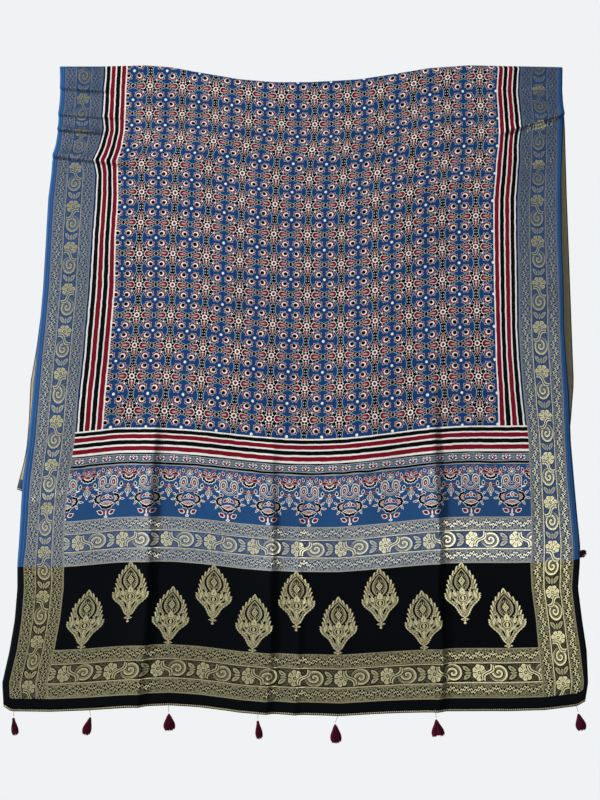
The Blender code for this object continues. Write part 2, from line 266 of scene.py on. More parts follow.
# %% Table of the small creases
SMALL_CREASES = (
    # start_x, start_z, end_x, end_z, above, below, height
    (-0.485, -0.016, -0.392, -0.026, 0.006, 0.006, -0.0022),
    (-0.485, -0.100, -0.392, -0.108, 0.007, 0.005, 0.0020),
    (-0.490, -0.152, -0.410, -0.160, 0.012, 0.006, 0.0016),
    (0.425, -0.110, 0.522, -0.082, 0.010, 0.005, 0.0020),
    (0.395, -0.020, 0.520, -0.006, 0.014, 0.010, 0.0014),
    (-0.300, -0.060, -0.080, -0.110, 0.020, 0.012, 0.0016),
    (0.060, -0.120, 0.330, -0.070, 0.022, 0.012, 0.0016),
    (-0.340, -0.300, -0.150, -0.345, 0.026, 0.018, 0.0013),
    (0.120, -0.390, 0.370, -0.340, 0.026, 0.018, 0.0015),
    (-0.500, -0.300, -0.380, -0.318, 0.016, 0.010, 0.0014),
    (0.400, -0.480, 0.510, -0.470, 0.018, 0.012, 0.0012),
    (-0.505, -0.560, -0.400, -0.571, 0.016, 0.009, 0.0013),
    (-0.520, -0.845, -0.430, -0.822, 0.014, 0.010, 0.0018),
    (0.420, -0.700, 0.515, -0.712, 0.016, 0.010, 0.0014),
    (-0.528, -0.954, -0.455, -0.957, 0.004, 0.004, -0.0009),
)


# %% [markdown]
# ## The drape as functions
# numpy works on all points at once, so each function takes and gives back whole arrays.

# %% Functions of the drape
HUNG_SHARE = 0.97           # first guess of the hung width as a share of the flat one
DRAPE_ROUNDS = 6            # a point's place and height need each other, so both are refined


def ease(value):
    """Go from 0 to 1 with flat ends."""
    value = np.clip(value, 0.0, 1.0)
    return value * value * (3.0 - 2.0 * value)


def read_table(table, key):
    """Read a table by its first column, straight between its rows."""
    rows = np.array(sorted(table), float)
    return [np.interp(key, rows[:, 0], column) for column in rows[:, 1:].T]


def fold_axis(x):
    """Height of the middle of the half circle that the cloth makes over the line."""
    return read_table(FOLD_HEIGHT, x)[0] - CLOTH_THICKNESS / 2 - FOLD_RADIUS


def row_height(x, along):
    """Height of a point of the front layer."""
    level, dip, rise, droop = read_table(LEVELS, along)
    level = level - dip * np.cos(np.clip((x - DIP_MIDDLE) / DIP_HALF, -1, 1) * math.pi / 2) ** 2
    level = level + rise * ease((x - RISE_START) / RISE_WIDTH)
    level = level - droop * ease((DROOP_START - x) / DROOP_WIDTH)
    level = level + np.maximum(0.0, LEVELS[0][0] - along)
    field_end = LEVELS[-1][0]
    share = np.maximum(0.0, (along - field_end) / (FRONT_LENGTH - field_end))
    return level + share * (read_table(FRONT_HEM, x)[0] - level)


def warp_x(across, height):
    """Where a warp thread of the front layer hangs at each height."""
    lines = read_table(WARP_LINES, height)
    x = np.full_like(across, 0.0)
    for left, right, line, following in zip(WARP_KNOTS, WARP_KNOTS[1:], lines, lines[1:]):
        inside = (across >= left - 1e-6) & (across <= right + 1e-6)
        share = (across - left) / (right - left)
        x = np.where(inside, line + share * (following - line), x)
    return x


def ridges(table, x, z):
    """How far a table of straight ridges pushes the cloth out."""
    push = 0.0
    for start_x, start_z, end_x, end_z, above, below, height in table:
        share = (x - start_x) / (end_x - start_x)
        line_z = start_z + np.clip(share, 0.0, 1.0) * (end_z - start_z)
        near = np.maximum(0.0, 1.0 - np.abs(z - line_z) / np.where(z > line_z, above, below))
        ends = ease((TUCK_GONE - np.abs(2.0 * share - 1.0)) / (TUCK_GONE - TUCK_FULL))
        push = push + height * near * near * ends
    return push


def packing_folds(share, z):
    """How far the packing folds push the cloth towards the viewer."""
    push = 0.0
    for line, starts, full, left_width, right_width, height in PACKING_FOLDS:
        offset = (share - line) * HALF_WIDTH
        near = np.maximum(0.0, 1.0 - np.abs(offset) / np.where(offset < 0, left_width, right_width))
        push = push + height * near * near * ease((starts - z) / (starts - full))
    return push


def waves(table, x, z):
    """How far a layer's slow waves push it out."""
    return sum(h * (1.0 + np.sin(turns * x + phase + slant * z))
               for h, turns, phase, slant in table)


def front_y(share, x, z):
    """Depth of the front layer."""
    hang = np.maximum(0.0, fold_axis(x) - z)
    push = FRONT_LEAN * ease(hang / FRONT_DROP)
    push = push + waves(FRONT_WAVES, x, z) * ease(hang / FRONT_WAVE_DROP)
    push = push + packing_folds(share, z) + ridges(TUCKS, x, z) * ease(hang / TUCK_START)
    push = push + ridges(SMALL_CREASES, x, z) * ease(hang / TUCK_START)
    return -np.maximum(FOLD_RADIUS + push, LAYER_CLEARANCE)


def back_y(x, z):
    """Depth of the back layer."""
    hang = np.maximum(0.0, fold_axis(x) - z)
    push = BACK_LEAN * ease(hang / BACK_DROP)
    push = push + waves(BACK_WAVES, x, z) * ease(hang / BACK_WAVE_DROP)
    return np.maximum(FOLD_RADIUS + push, LAYER_CLEARANCE)


def drape(across, along):
    """Place points of the flat cloth on the hung one."""
    x = across * HUNG_SHARE
    half_circle = math.pi * FOLD_RADIUS
    top_row = LEVELS[0][0]
    for _ in range(DRAPE_ROUNDS):
        axis = fold_axis(x)
        starts = top_row - (axis - row_height(x, np.full_like(x, top_row)))
        turn = np.clip((starts - along) / half_circle, 0.0, 1.0)
        ends = starts - half_circle
        stretch = (axis - read_table(BACK_HEM, x)[0]) / (ends + BACK_LENGTH)
        behind = axis - np.maximum(0.0, ends - along) * stretch
        z = np.where(turn >= 1.0, behind, np.minimum(row_height(x, along), axis))
        left, right = read_table(BACK_SIDES, z)
        x_behind = left + (across + HALF_WIDTH) / (2 * HALF_WIDTH) * (right - left)
        x = warp_x(across, z) * (1.0 - turn) + x_behind * turn
    edges = read_table(WARP_LINES, z)
    share = 2.0 * (x - edges[0]) / (edges[-1] - edges[0]) - 1.0
    y = np.where(turn <= 0.0, front_y(share, x, z), back_y(x, z))
    over = (turn > 0.0) & (turn < 1.0)
    y = np.where(over, -FOLD_RADIUS * np.cos(math.pi * turn), y)
    z = np.where(over, axis + FOLD_RADIUS * np.sin(math.pi * turn), z)
    return np.stack([x, y, z], axis=-1)


print("crest in the middle", drape(np.array([0.0]), np.array([0.015]))[0].round(4))

# %% [markdown]
# ## The cloth's mesh
# A grid is the right start for a sheet: its rows and columns become weft and warp. The
# columns and rows aren't even, because each border of a woven or printed strip has to lie
# on one, and the creases near the fold need closer rows.

# %% Rows and columns
def stations(*runs):
    """Join runs of (start, end, steps) to one rising list of places."""
    places = [runs[0][0]]
    for start, end, steps in runs:
        places += [start + (end - start) * (i + 1) / steps for i in range(steps)]
    return np.array(places)


half_columns = (
    (FIELD_EDGE, PRINT_OUTER, 8),
    (PRINT_OUTER, ZARI_INNER, 1),
    (ZARI_INNER, SELVEDGE, 13),
    (SELVEDGE, HALF_WIDTH, 2),
)
FIELD_STEP = 0.0092
CREASE_START, CREASE_END, CREASE_STEPS = -0.004, 0.022, 7   # closer columns at a packing fold
field_columns, done = [], -FIELD_EDGE
for line, *_ in PACKING_FOLDS:
    near, past = line * HALF_WIDTH + CREASE_START, line * HALF_WIDTH + CREASE_END
    field_columns += [(done, near, max(1, round((near - done) / FIELD_STEP))),
                      (near, past, CREASE_STEPS)]
    done = past
field_columns.append((done, FIELD_EDGE, round((FIELD_EDGE - done) / FIELD_STEP)))
COLUMNS = stations(
    *[(-end, -start, steps) for start, end, steps in reversed(half_columns)],
    *field_columns,
    *half_columns)

TURN_START, TURN_END = -0.014, 0.046    # along: the rows that turn over the line
TUCKS_END = 0.250                       # along: the tucks need close rows down to here
end_rows = (0.0, HEM_STRIP, BLACK_ZARI, BLACK_GROUND, BLUE_ZARI, PAISLEY_ROW, FLOWER_BAND,
            STRIPE_BAND)
front_steps = (3, 13, 21, 12, 14, 3, 7)
back_steps = (2, 5, 8, 5, 5, 1, 2)
front_runs = [(FRONT_LENGTH - upper, FRONT_LENGTH - lower, steps)
              for lower, upper, steps in zip(end_rows, end_rows[1:], front_steps)]
back_runs = [(lower - BACK_LENGTH, upper - BACK_LENGTH, steps)
             for lower, upper, steps in zip(end_rows, end_rows[1:], back_steps)]
ROWS = stations(
    *back_runs,
    (STRIPE_BAND - BACK_LENGTH, TURN_START, 18),
    (TURN_START, TURN_END, 20),
    (TURN_END, TUCKS_END, 90),
    (TUCKS_END, FRONT_LENGTH - STRIPE_BAND, 76),
    *reversed(front_runs))
print(len(COLUMNS), "columns,", len(ROWS), "rows")

# %% [markdown]
# The grid is added with the operator, and its points are then placed by the drape. Its UV
# map holds the flat place in metres, so every pattern keeps its real size on the cloth.

# %% The draped sheet
def add_sheet():
    """Add the grid, lay it over the line and give it its flat map."""
    bpy.ops.object.select_all(action="DESELECT")
    bpy.ops.mesh.primitive_grid_add(
        x_subdivisions=len(COLUMNS) - 1, y_subdivisions=len(ROWS) - 1, size=1.0)
    sheet = bpy.context.object
    sheet.name = "silk_cloth"
    mesh = sheet.data
    count = len(mesh.vertices)
    flat = np.empty(count * 3)
    mesh.vertices.foreach_get("co", flat)
    flat = flat.reshape(-1, 3)
    column = np.rint((flat[:, 0] + 0.5) * (len(COLUMNS) - 1)).astype(int)
    row = np.rint((flat[:, 1] + 0.5) * (len(ROWS) - 1)).astype(int)
    across, along = COLUMNS[column], ROWS[row]
    mesh.vertices.foreach_set("co", drape(across, along).ravel())
    loops = np.empty(len(mesh.loops), int)
    mesh.loops.foreach_get("vertex_index", loops)
    mesh.uv_layers[0].name = "flat_cut"
    mesh.uv_layers[0].data.foreach_set("uv", np.stack([across, along], -1)[loops].ravel())
    mesh.update()
    return sheet, across, along


cloth, ACROSS, ALONG = add_sheet()
print("cloth points:", len(cloth.data.vertices))

# %% [markdown]
# ## Which face is what
# Each woven or printed strip is its own material, so a face's place on the flat cloth
# decides its slot. The order of this list is the order of the slots.

# %% Regions
REGIONS = ("field", "side_stripes", "band_stripes", "flower_band", "paisley_row",
           "blue_zari_band", "black_ground", "black_zari_band", "blue_zari_side",
           "black_zari_side", "blue_selvedge", "black_selvedge", "hem_strip")


def region_of(across, along):
    """Name the strip that a point of the flat cloth lies in."""
    side = abs(across)
    up = ENDS_HALF - abs(along - ENDS_MIDDLE)
    if up < HEM_STRIP:
        return "hem_strip"
    if side > SELVEDGE:
        return "black_selvedge" if up < BLACK_GROUND else "blue_selvedge"
    if side > ZARI_INNER:
        return "black_zari_side" if up < BLACK_GROUND else "blue_zari_side"
    for limit, name in ((BLACK_ZARI, "black_zari_band"), (BLACK_GROUND, "black_ground"),
                        (BLUE_ZARI, "blue_zari_band"), (PAISLEY_ROW, "paisley_row"),
                        (FLOWER_BAND, "flower_band"), (STRIPE_BAND, "band_stripes")):
        if up < limit:
            return name
    return "side_stripes" if side > FIELD_EDGE else "field"


def sort_faces(sheet):
    """Give each face the slot of its strip."""
    counts = dict.fromkeys(REGIONS, 0)
    for face in sheet.data.polygons:
        corners = list(face.vertices)
        name = region_of(ACROSS[corners].mean(), ALONG[corners].mean())
        face.material_index = REGIONS.index(name)
        counts[name] += 1
    return counts


print(sort_faces(cloth))

# %% [markdown]
# ## One function for nodes
# A material is a graph of nodes. This one function adds a node, sets its settings, feeds
# its inputs with numbers or with other nodes, and gives back an output. It also fills a
# colour ramp from (place, colour) stops, and a curve from (x, y) points. Two colours are
# mixed so often that *mix* does it through the same function.

# %% Node and colour helpers
def linear(code, alpha=1.0):
    """Turn an sRGB hex colour to the linear values that Blender works in."""
    values = [int(code[i:i + 2], 16) / 255.0 for i in (1, 3, 5)]
    return (*[v / 12.92 if v <= 0.04045 else ((v + 0.055) / 1.055) ** 2.4 for v in values], alpha)


def put(tree, kind, inputs=(), out=0, stops=(), points=(), **settings):
    """Add a shader node with its settings and links, and give back one of its outputs."""
    node = tree.nodes.new("ShaderNode" + kind)
    for name, value in settings.items():
        setattr(node, name, value)
    for key, value in (inputs.items() if isinstance(inputs, dict) else enumerate(inputs)):
        if isinstance(value, bpy.types.NodeSocket):
            tree.links.new(value, node.inputs[key])
        else:
            node.inputs[key].default_value = value
    if stops:
        ramp = node.color_ramp
        ramp.interpolation = "CONSTANT"
        while len(ramp.elements) < len(stops):
            ramp.elements.new(1.0)
        for element, (place, color) in zip(ramp.elements, stops):
            element.position = place
            element.color = color
    if points:
        curve = node.mapping.curves[0]
        while len(curve.points) < len(points):
            curve.points.new(0.5, 0.5)
        for point, place in zip(curve.points, points):
            point.location = place
        node.mapping.update()
    return node.outputs[:] if out is None else node.outputs[out]


def mix(tree, share, color, over):
    """Mix two colours: a share of 0 keeps the first one and 1 gives the second."""
    return put(tree, "Mix", {0: share, 6: color, 7: over}, out=2, data_type="RGBA")


# Dyes, threads and grounds, as the eye sees them on the cloth
INDIGO = "#143F74"
LIGHT_INDIGO = "#264E7E"
DEEP_INDIGO = "#0E2A55"
PALE_INDIGO = "#93A9BC"
MADDER = "#7C0A22"
IRON_BLACK = "#030405"
UNDYED = "#F4F1EA"
DULL_WHITE = "#B9AEAB"
GREY_WHITE = "#9EA3A2"
GOLD_LIGHT = "#DCD5A6"
# Side-border gold in painted shade near the fold; lower down it turns to GOLD_LIGHT as a painted
# gleam
GOLD_IN_PAINTED_SHADE = "#8F8D70"
GOLD_BRIGHT = "#FBF4CC"
ZARI_BLACK = "#04070C"
FLOAT_TAN = "#B9AC82"
# Painted shade: the dark outer edge of the selvedges' wrong side
EDGE_PAINTED_SHADE = "#4A4436"
BLACK_REVERSE = "#15171C"
BLACK_RIB = "#0F141C"
INDIGO_RIB = "#3A6AA6"
print("indigo in linear values:", [round(c, 3) for c in linear(INDIGO)])

# %% [markdown]
# ## Shapes that a pattern is stamped with
# Block printing stamps small motifs over and over. A motif here is a *shape value*: 0 in its
# middle and 1 on its outline. Rings of colour are then laid by that value, as a printer
# lays the outline, the ground and the filling from separate blocks.

# %% Shape values
TOOTH_DEPTH = 0.05
CUT_STEEPNESS = 9.0


def laid(tree, place, middle, size, turn):
    """Move, turn and size a place so that a shape's middle is 0 and its half size is 1."""
    return put(tree, "Mapping", (place, (*middle, 0.0), (0.0, 0.0, turn), (*size, 1.0)),
               vector_type="TEXTURE")


def far_from_middle(tree, local):
    """Distance from the middle, without Z."""
    flat = put(tree, "VectorMath", (local, (1.0, 1.0, 0.0)), operation="MULTIPLY")
    return put(tree, "VectorMath", (flat,), out=1, operation="LENGTH")


def angle_round(tree, local):
    """Angle of a place round the middle, counted from the X axis."""
    x, y, _ = put(tree, "SeparateXYZ", (local,), out=None)
    return put(tree, "Math", (y, x), operation="ARCTAN2")


def scalloped(tree, local, count, depth):
    """Shape value of a disc with a number of scallops or teeth on its rim."""
    wave = put(tree, "Math", (angle_round(tree, local), count), operation="MULTIPLY")
    wave = put(tree, "Math", (wave,), operation="COSINE")
    return put(tree, "Math", (wave, -depth, far_from_middle(tree, local)),
               operation="MULTIPLY_ADD")


def oval(tree, place, middle, size, turn=0.0):
    """Shape value of an oval."""
    return far_from_middle(tree, laid(tree, place, middle, size, turn))


def leaf(tree, place, middle, size, turn=0.0, taper=0.0, bend=0.0):
    """Shape value of a leaf with two points, fatter at its start, and bent if asked."""
    x, y, _ = put(tree, "SeparateXYZ", (laid(tree, place, middle, size, turn),), out=None)
    square = put(tree, "Math", (x, x), operation="MULTIPLY")
    if bend:
        y = put(tree, "Math", (square, bend, y), operation="MULTIPLY_ADD")
    wide = put(tree, "Math", (y,), operation="ABSOLUTE")
    if taper:
        inside = put(tree, "Math", (x, -1.0), operation="MAXIMUM")
        narrow = put(tree, "Math", (inside, taper, 1.0), operation="MULTIPLY_ADD")
        wide = put(tree, "Math", (wide, narrow), operation="MULTIPLY")
    return put(tree, "Math", (square, wide), operation="ADD")


def drop(tree, place, middle, size, turn=0.0, taper=1.0, bend=0.0):
    """Shape value of a drop: round at its start, with a narrow tail that can curl."""
    x, y, _ = put(tree, "SeparateXYZ", (laid(tree, place, middle, size, turn),), out=None)
    tail = put(tree, "Math", (x, 0.0), operation="MAXIMUM")
    square = put(tree, "Math", (tail, tail), operation="MULTIPLY")
    y = put(tree, "Math", (square, bend, y), operation="MULTIPLY_ADD")
    narrow = put(tree, "Math", (square, taper, 1.0), operation="MULTIPLY_ADD")
    y = put(tree, "Math", (y, narrow), operation="MULTIPLY")
    return far_from_middle(tree, put(tree, "CombineXYZ", (x, y)))


def fan(tree, place, middle, size, turn=0.0, teeth=0.0, cut=-2.0):
    """Shape value of a toothed disc, of which only the part past the cut is kept."""
    local = laid(tree, place, middle, size, turn)
    x, _, _ = put(tree, "SeparateXYZ", (local,), out=None)
    value = scalloped(tree, local, teeth, TOOTH_DEPTH)
    left_out = put(tree, "Math", (x, -CUT_STEEPNESS, 1.0 + CUT_STEEPNESS * cut),
                   operation="MULTIPLY_ADD")
    return put(tree, "Math", (value, left_out), operation="MAXIMUM")


def stem(tree, place, middle, size, turn=0.0, swing=1.0):
    """Shape value of a stem that swings once to each side, like an S."""
    x, y, _ = put(tree, "SeparateXYZ", (laid(tree, place, middle, size, turn),), out=None)
    wave = put(tree, "Math", (x, math.pi), operation="MULTIPLY")
    wave = put(tree, "Math", (wave,), operation="SINE")
    y = put(tree, "Math", (wave, swing, y), operation="MULTIPLY_ADD")
    y = put(tree, "Math", (y,), operation="ABSOLUTE")
    x = put(tree, "Math", (x,), operation="ABSOLUTE")
    ends = put(tree, "Math", (x, 8.0, -7.0), operation="MULTIPLY_ADD")
    return put(tree, "Math", (ends, y), operation="MAXIMUM")


def lozenge(tree, place, middle, size):
    """Shape value of a lozenge."""
    even = put(tree, "VectorMath", (laid(tree, place, middle, size, 0.0),), operation="ABSOLUTE")
    return put(tree, "VectorMath", (even, (1.0, 1.0, 0.0)), out=1, operation="DOT_PRODUCT")


# %% [markdown]
# A motif's parts often repeat round a middle or along a line, or are even to both sides.
# That is done to the *place*, before a shape is drawn, so one drawn part shows many times.

# %% Repeats and the stamp
def around(tree, place, count, phase=0.0):
    """Turn a place so that one petal, drawn along X, repeats count times round the middle."""
    angle = put(tree, "Math", (angle_round(tree, place), phase), operation="SUBTRACT")
    half = math.pi / count
    angle = put(tree, "Math", (angle, half, -half), operation="WRAP")
    far = far_from_middle(tree, place)
    side = put(tree, "Math", (angle, far), operation="MULTIPLY")
    return put(tree, "CombineXYZ", (far, side))


def repeat(tree, place, pitch, middle=(0.0, 0.0)):
    """Wrap a place to one repeat of the pattern, with the motif's middle at 0."""
    moved = put(tree, "VectorMath", (place, (*middle, 0.0)), operation="SUBTRACT")
    half = (pitch[0] / 2.0, pitch[1] / 2.0, 1.0)
    return put(tree, "VectorMath", (moved, half, tuple(-h for h in half)), operation="WRAP")


def mirrored(tree, place):
    """Make a place even to left and right."""
    x, y, _ = put(tree, "SeparateXYZ", (place,), out=None)
    return put(tree, "CombineXYZ", (put(tree, "Math", (x,), operation="ABSOLUTE"), y))


def stamp(tree, below, shape, *rings):
    """Lay rings of colour over what is there: each is (share it reaches, hex colour)."""
    starts = [0.0] + [min(reach, 0.999) for reach, _ in rings]
    colors = [linear(code, 1.0) if code else (0.0, 0.0, 0.0, 0.0) for _, code in rings]
    stops = list(zip(starts, colors + [(0.0, 0.0, 0.0, 0.0)]))
    color, alpha = put(tree, "ValToRGB", (shape,), out=None, stops=stops)
    return mix(tree, alpha, below, color)


SHAPES = {"oval": oval, "leaf": leaf, "drop": drop, "fan": fan, "stem": stem}


def stamp_table(tree, color, place, table):
    """Stamp every row of a motif's table, with as many shape numbers as the row has."""
    for kind, x, y, length, width, turn, more, rings in table:
        shape = SHAPES[kind](tree, place, (x, y), (length, width), math.radians(turn), *more)
        color = stamp(tree, color, shape, *rings)
    return color


def flat_place(tree, slip=0.0045, grain=26.0):
    """The place on the flat cloth, in metres, off by the small slips of hand work."""
    flat = put(tree, "UVMap", uv_map="flat_cut")
    wander = put(tree, "TexNoise", {"Vector": flat, "Scale": grain, "Detail": 1.0}, out=1)
    centred = put(tree, "VectorMath", (wander, (0.5, 0.5, 0.5)), operation="SUBTRACT")
    return put(tree, "VectorMath", (centred, (slip, slip, 0.0), flat), operation="MULTIPLY_ADD")


def end_place(tree, place):
    """Millimetres across, and up from the nearer hem."""
    x, y, _ = put(tree, "SeparateXYZ", (place,), out=None)
    off = put(tree, "Math", (y, ENDS_MIDDLE), operation="SUBTRACT")
    off = put(tree, "Math", (off,), operation="ABSOLUTE")
    up = put(tree, "Math", (off, -1000.0, ENDS_HALF * 1000.0), operation="MULTIPLY_ADD")
    wide = put(tree, "Math", (x, 1000.0), operation="MULTIPLY")
    return put(tree, "CombineXYZ", (wide, up))


# %% [markdown]
# ## The finish of modal silk
# Modal silk is a smooth, softly shining cloth of fine threads, dyed in indigo and madder.
# All printed strips share this finish: a low gleam, a weave in low bump, and a dye that is
# a little uneven, as on any cloth that was dipped by hand. Real threads lie 0.2 mm apart,
# too fine to show, so the weave is drawn 1.1 mm wide.

# %% Silk finish
WEAVE_PITCH = 0.0011


def weave_height(tree, pitch=WEAVE_PITCH):
    """Height of a plain weave."""
    flat = put(tree, "UVMap", uv_map="flat_cut")
    warp = put(tree, "TexWave", {"Vector": flat, "Scale": 0.314 / pitch, "Distortion": 0.6,
                                 "Detail": 1.0}, out=1, bands_direction="X")
    weft = put(tree, "TexWave", {"Vector": flat, "Scale": 0.314 / pitch, "Distortion": 0.6,
                                 "Detail": 1.0}, out=1, bands_direction="Y")
    return put(tree, "Math", (warp, weft), operation="MULTIPLY")


def new_material(name):
    """A material with an empty principled surface."""
    made = bpy.data.materials.new(name)
    made.use_nodes = True
    return made, made.node_tree, made.node_tree.nodes["Principled BSDF"]


def uneven_dye(tree, color, low=0.80, high=1.14):
    """Make a dyed colour lighter and darker in soft patches, and across single threads."""
    flat = put(tree, "UVMap", uv_map="flat_cut")
    patch = put(tree, "TexNoise", {"Vector": flat, "Scale": 9.0, "Detail": 5.0})
    stretched = put(tree, "VectorMath", (flat, (900.0, 60.0, 1.0)), operation="MULTIPLY")
    thread = put(tree, "TexNoise", {"Vector": stretched, "Scale": 1.0, "Detail": 2.0})
    both = put(tree, "Math", (patch, thread), operation="ADD")
    level = put(tree, "MapRange", (both, 0.6, 1.4, low, high))
    return put(tree, "VectorMath", {0: color, "Scale": level}, operation="SCALE")


def finish_silk(tree, shader, color, roughness=0.55):
    """The silk's colour, its low gleam and its weave."""
    color = uneven_dye(tree, color)
    tree.links.new(color, shader.inputs["Base Color"])
    shader.inputs["Roughness"].default_value = roughness
    shader.inputs["Specular IOR Level"].default_value = 0.05
    shader.inputs["Sheen Weight"].default_value = 0.008
    shader.inputs["Sheen Roughness"].default_value = 0.4
    bump = put(tree, "Bump", {"Strength": 0.16, "Distance": 0.0002, "Height": weave_height(tree)})
    tree.links.new(bump, shader.inputs["Normal"])


def paler(tree, color, share=0.45, wash="#8FA0B2"):
    """The dye as it comes through on the wrong side of the cloth."""
    return mix(tree, share, color, linear(wash))


# %% [markdown]
# ## The ajrakh field
# The repeat is 70 x 62.5 mm. A flower with four pointed petals stands on each corner of the
# repeat, and an indigo roundel with four small scalloped stars fills its middle. A black
# band with a row of white dots runs round each roundel. The repeat is even to both sides,
# so one quarter is drawn, and the ABSOLUTE operation mirrors it.

# %% Ajrakh pattern
CELL = (0.0700, 0.0625)
FIRST_FLOWER = (-0.3436, 0.0550)
ROUNDEL_EDGE = ((0.0, 0.436), (0.14, 0.434), (0.30, 0.428), (0.45, 0.432), (0.54, 0.420),
                (0.67, 0.394), (0.85, 0.412), (1.0, 0.444))
DOTS_IN_QUARTER = 8.0       # about 14 on the real cloth, drawn coarser to be seen
DOT_ROW = 1.08
STAR_SCALLOPS = 7.0
PETAL = ((0.14, PALE_INDIGO), (0.28, DULL_WHITE), (0.86, MADDER), (1.0, UNDYED))


def roundel_shares(tree, corner):
    """Angle round a roundel as a share of its quarter, and distance as a share of its edge."""
    angle = put(tree, "Math", (angle_round(tree, corner), 2.0 / math.pi), operation="MULTIPLY")
    edge = put(tree, "FloatCurve", {1: angle}, points=ROUNDEL_EDGE)
    return angle, put(tree, "Math", (far_from_middle(tree, corner), edge), operation="DIVIDE")


def roundel_stars(tree, color, corner):
    """Four stars: a scalloped madder rim, a white crescent and a black heart towards the middle."""
    star = laid(tree, corner, (0.184, 0.182), (0.128, 0.138), math.pi / 4)
    rim = scalloped(tree, star, STAR_SCALLOPS, 0.13)
    color = stamp(tree, color, rim, (0.86, MADDER), (0.999, DULL_WHITE))
    color = stamp(tree, color, drop(tree, star, (-0.18, 0.0), (0.66, 0.60), math.pi, 0.6),
                  (1.0, UNDYED))
    color = stamp(tree, color, drop(tree, star, (-0.34, 0.0), (0.50, 0.42), math.pi, 1.2),
                  (1.0, IRON_BLACK))
    return stamp(tree, color, oval(tree, corner, (0.300, 0.292), (0.024, 0.027)), (1.0, UNDYED))


def ajrakh(tree):
    """The colour of the field."""
    cell = laid(tree, flat_place(tree), FIRST_FLOWER, CELL, 0.0)
    local = repeat(tree, cell, (1.0, 1.0))
    quarter = put(tree, "VectorMath", (local,), operation="ABSOLUTE")
    corner = put(tree, "VectorMath", ((0.5, 0.5, 0.0), quarter), operation="SUBTRACT")
    angle, roundel = roundel_shares(tree, corner)
    row = put(tree, "CombineXYZ", (
        put(tree, "Math", (angle, DOTS_IN_QUARTER), operation="MULTIPLY"), roundel))
    dot = oval(tree, repeat(tree, row, (1.0, 400.0), (0.5, DOT_ROW)), (0.0, 0.0), (0.19, 0.022))
    color = stamp(tree, linear(IRON_BLACK), dot, (1.0, UNDYED))
    color = stamp(tree, color, roundel, (0.95, INDIGO), (1.0, PALE_INDIGO))
    color = roundel_stars(tree, color, corner)
    color = stamp(tree, color, oval(tree, corner, (0.0, 0.0), (0.040, 0.045)), (1.0, UNDYED))

    # The flower: petals to the sides and up and down, beads, a ring and a dot
    color = stamp(tree, color, leaf(tree, quarter, (0.296, 0.0), (0.164, 0.090), 0.0, 0.80),
                  *PETAL)
    color = stamp(tree, color, leaf(tree, quarter, (0.0, 0.235), (0.138, 0.076), math.pi / 2,
                                    0.80), *PETAL)
    color = stamp(tree, color, oval(tree, quarter, (0.0, 0.0), (0.146, 0.160)), (1.0, UNDYED))
    bead = around(tree, local, 8, math.pi / 8)
    color = stamp(tree, color, oval(tree, bead, (0.116, 0.0), (0.039, 0.040)), (1.0, IRON_BLACK))
    return stamp(tree, color, oval(tree, quarter, (0.0, 0.0), (0.078, 0.087)),
                 (0.56, MADDER), (1.0, UNDYED))


def field_silk(name, wrong_side):
    """Modal silk, block printed all over with the ajrakh repeat."""
    made, tree, shader = new_material(name)
    color = ajrakh(tree)
    finish_silk(tree, shader, paler(tree, color) if wrong_side else color)
    return made


# %% [markdown]
# ## Stripes
# The stripes beside and below the field are printed from the same resist, black and madder
# dyes, with undyed lines between. A colour ramp in constant steps is all they need. The
# widths are counted in millimetres, from the field outwards.

# %% Striped strips
SIDE_STRIPES = (
    # width, colour, from the field to the border
    (2.9, UNDYED), (9.2, MADDER), (2.9, UNDYED), (9.0, IRON_BLACK), (2.9, UNDYED),
    (9.2, MADDER), (2.9, UNDYED), (8.7, IRON_BLACK), (3.3, UNDYED), (4.0, DEEP_INDIGO),
)
BAND_STRIPES = (
    # width, colour, from the field down
    (2.8, UNDYED), (7.3, IRON_BLACK), (2.9, UNDYED), (8.2, MADDER), (3.2, UNDYED),
    (8.0, IRON_BLACK), (3.6, UNDYED), (8.6, MADDER), (4.4, UNDYED),
)


def stripes(tree, depth, table):
    """Stripes of a table, read by how deep a point lies in it, in millimetres."""
    whole = sum(width for width, _ in table)
    stops, start = [], 0.0
    for width, code in table:
        stops.append((start / whole, linear(code)))
        start += width
    return put(tree, "ValToRGB", (put(tree, "Math", (depth, whole), operation="DIVIDE"),),
               stops=stops)


def striped_silk(name, table, beside, wrong_side):
    """Modal silk with printed stripes, beside the field or below it."""
    made, tree, shader = new_material(name)
    x, y, _ = put(tree, "SeparateXYZ", (flat_place(tree, 0.0022, 60.0),), out=None)
    if beside:
        depth = put(tree, "Math", (x,), operation="ABSOLUTE")
        depth = put(tree, "Math", (depth, 1000.0, -FIELD_EDGE * 1000.0),
                    operation="MULTIPLY_ADD")
    else:
        _, up, _ = put(tree, "SeparateXYZ", (end_place(tree, flat_place(tree, 0.0022, 60.0)),),
                       out=None)
        depth = put(tree, "Math", (STRIPE_BAND * 1000.0, up), operation="SUBTRACT")
    color = stripes(tree, depth, table)
    finish_silk(tree, shader, paler(tree, color) if wrong_side else color)
    return made


# %% [markdown]
# ## The narrow flower band
# Between two black lines runs a row of leafy balls and small madder flowers on indigo.

# %% Flower band
FLOWER_BAND_LINES = (
    # width, colour, from the stripes down
    (2.8, IRON_BLACK), (1.6, GREY_WHITE), (11.6, LIGHT_INDIGO), (1.6, GREY_WHITE),
    (4.2, IRON_BLACK), (2.2, GREY_WHITE),
)
FLOWER_BAND_PITCH = 26.2


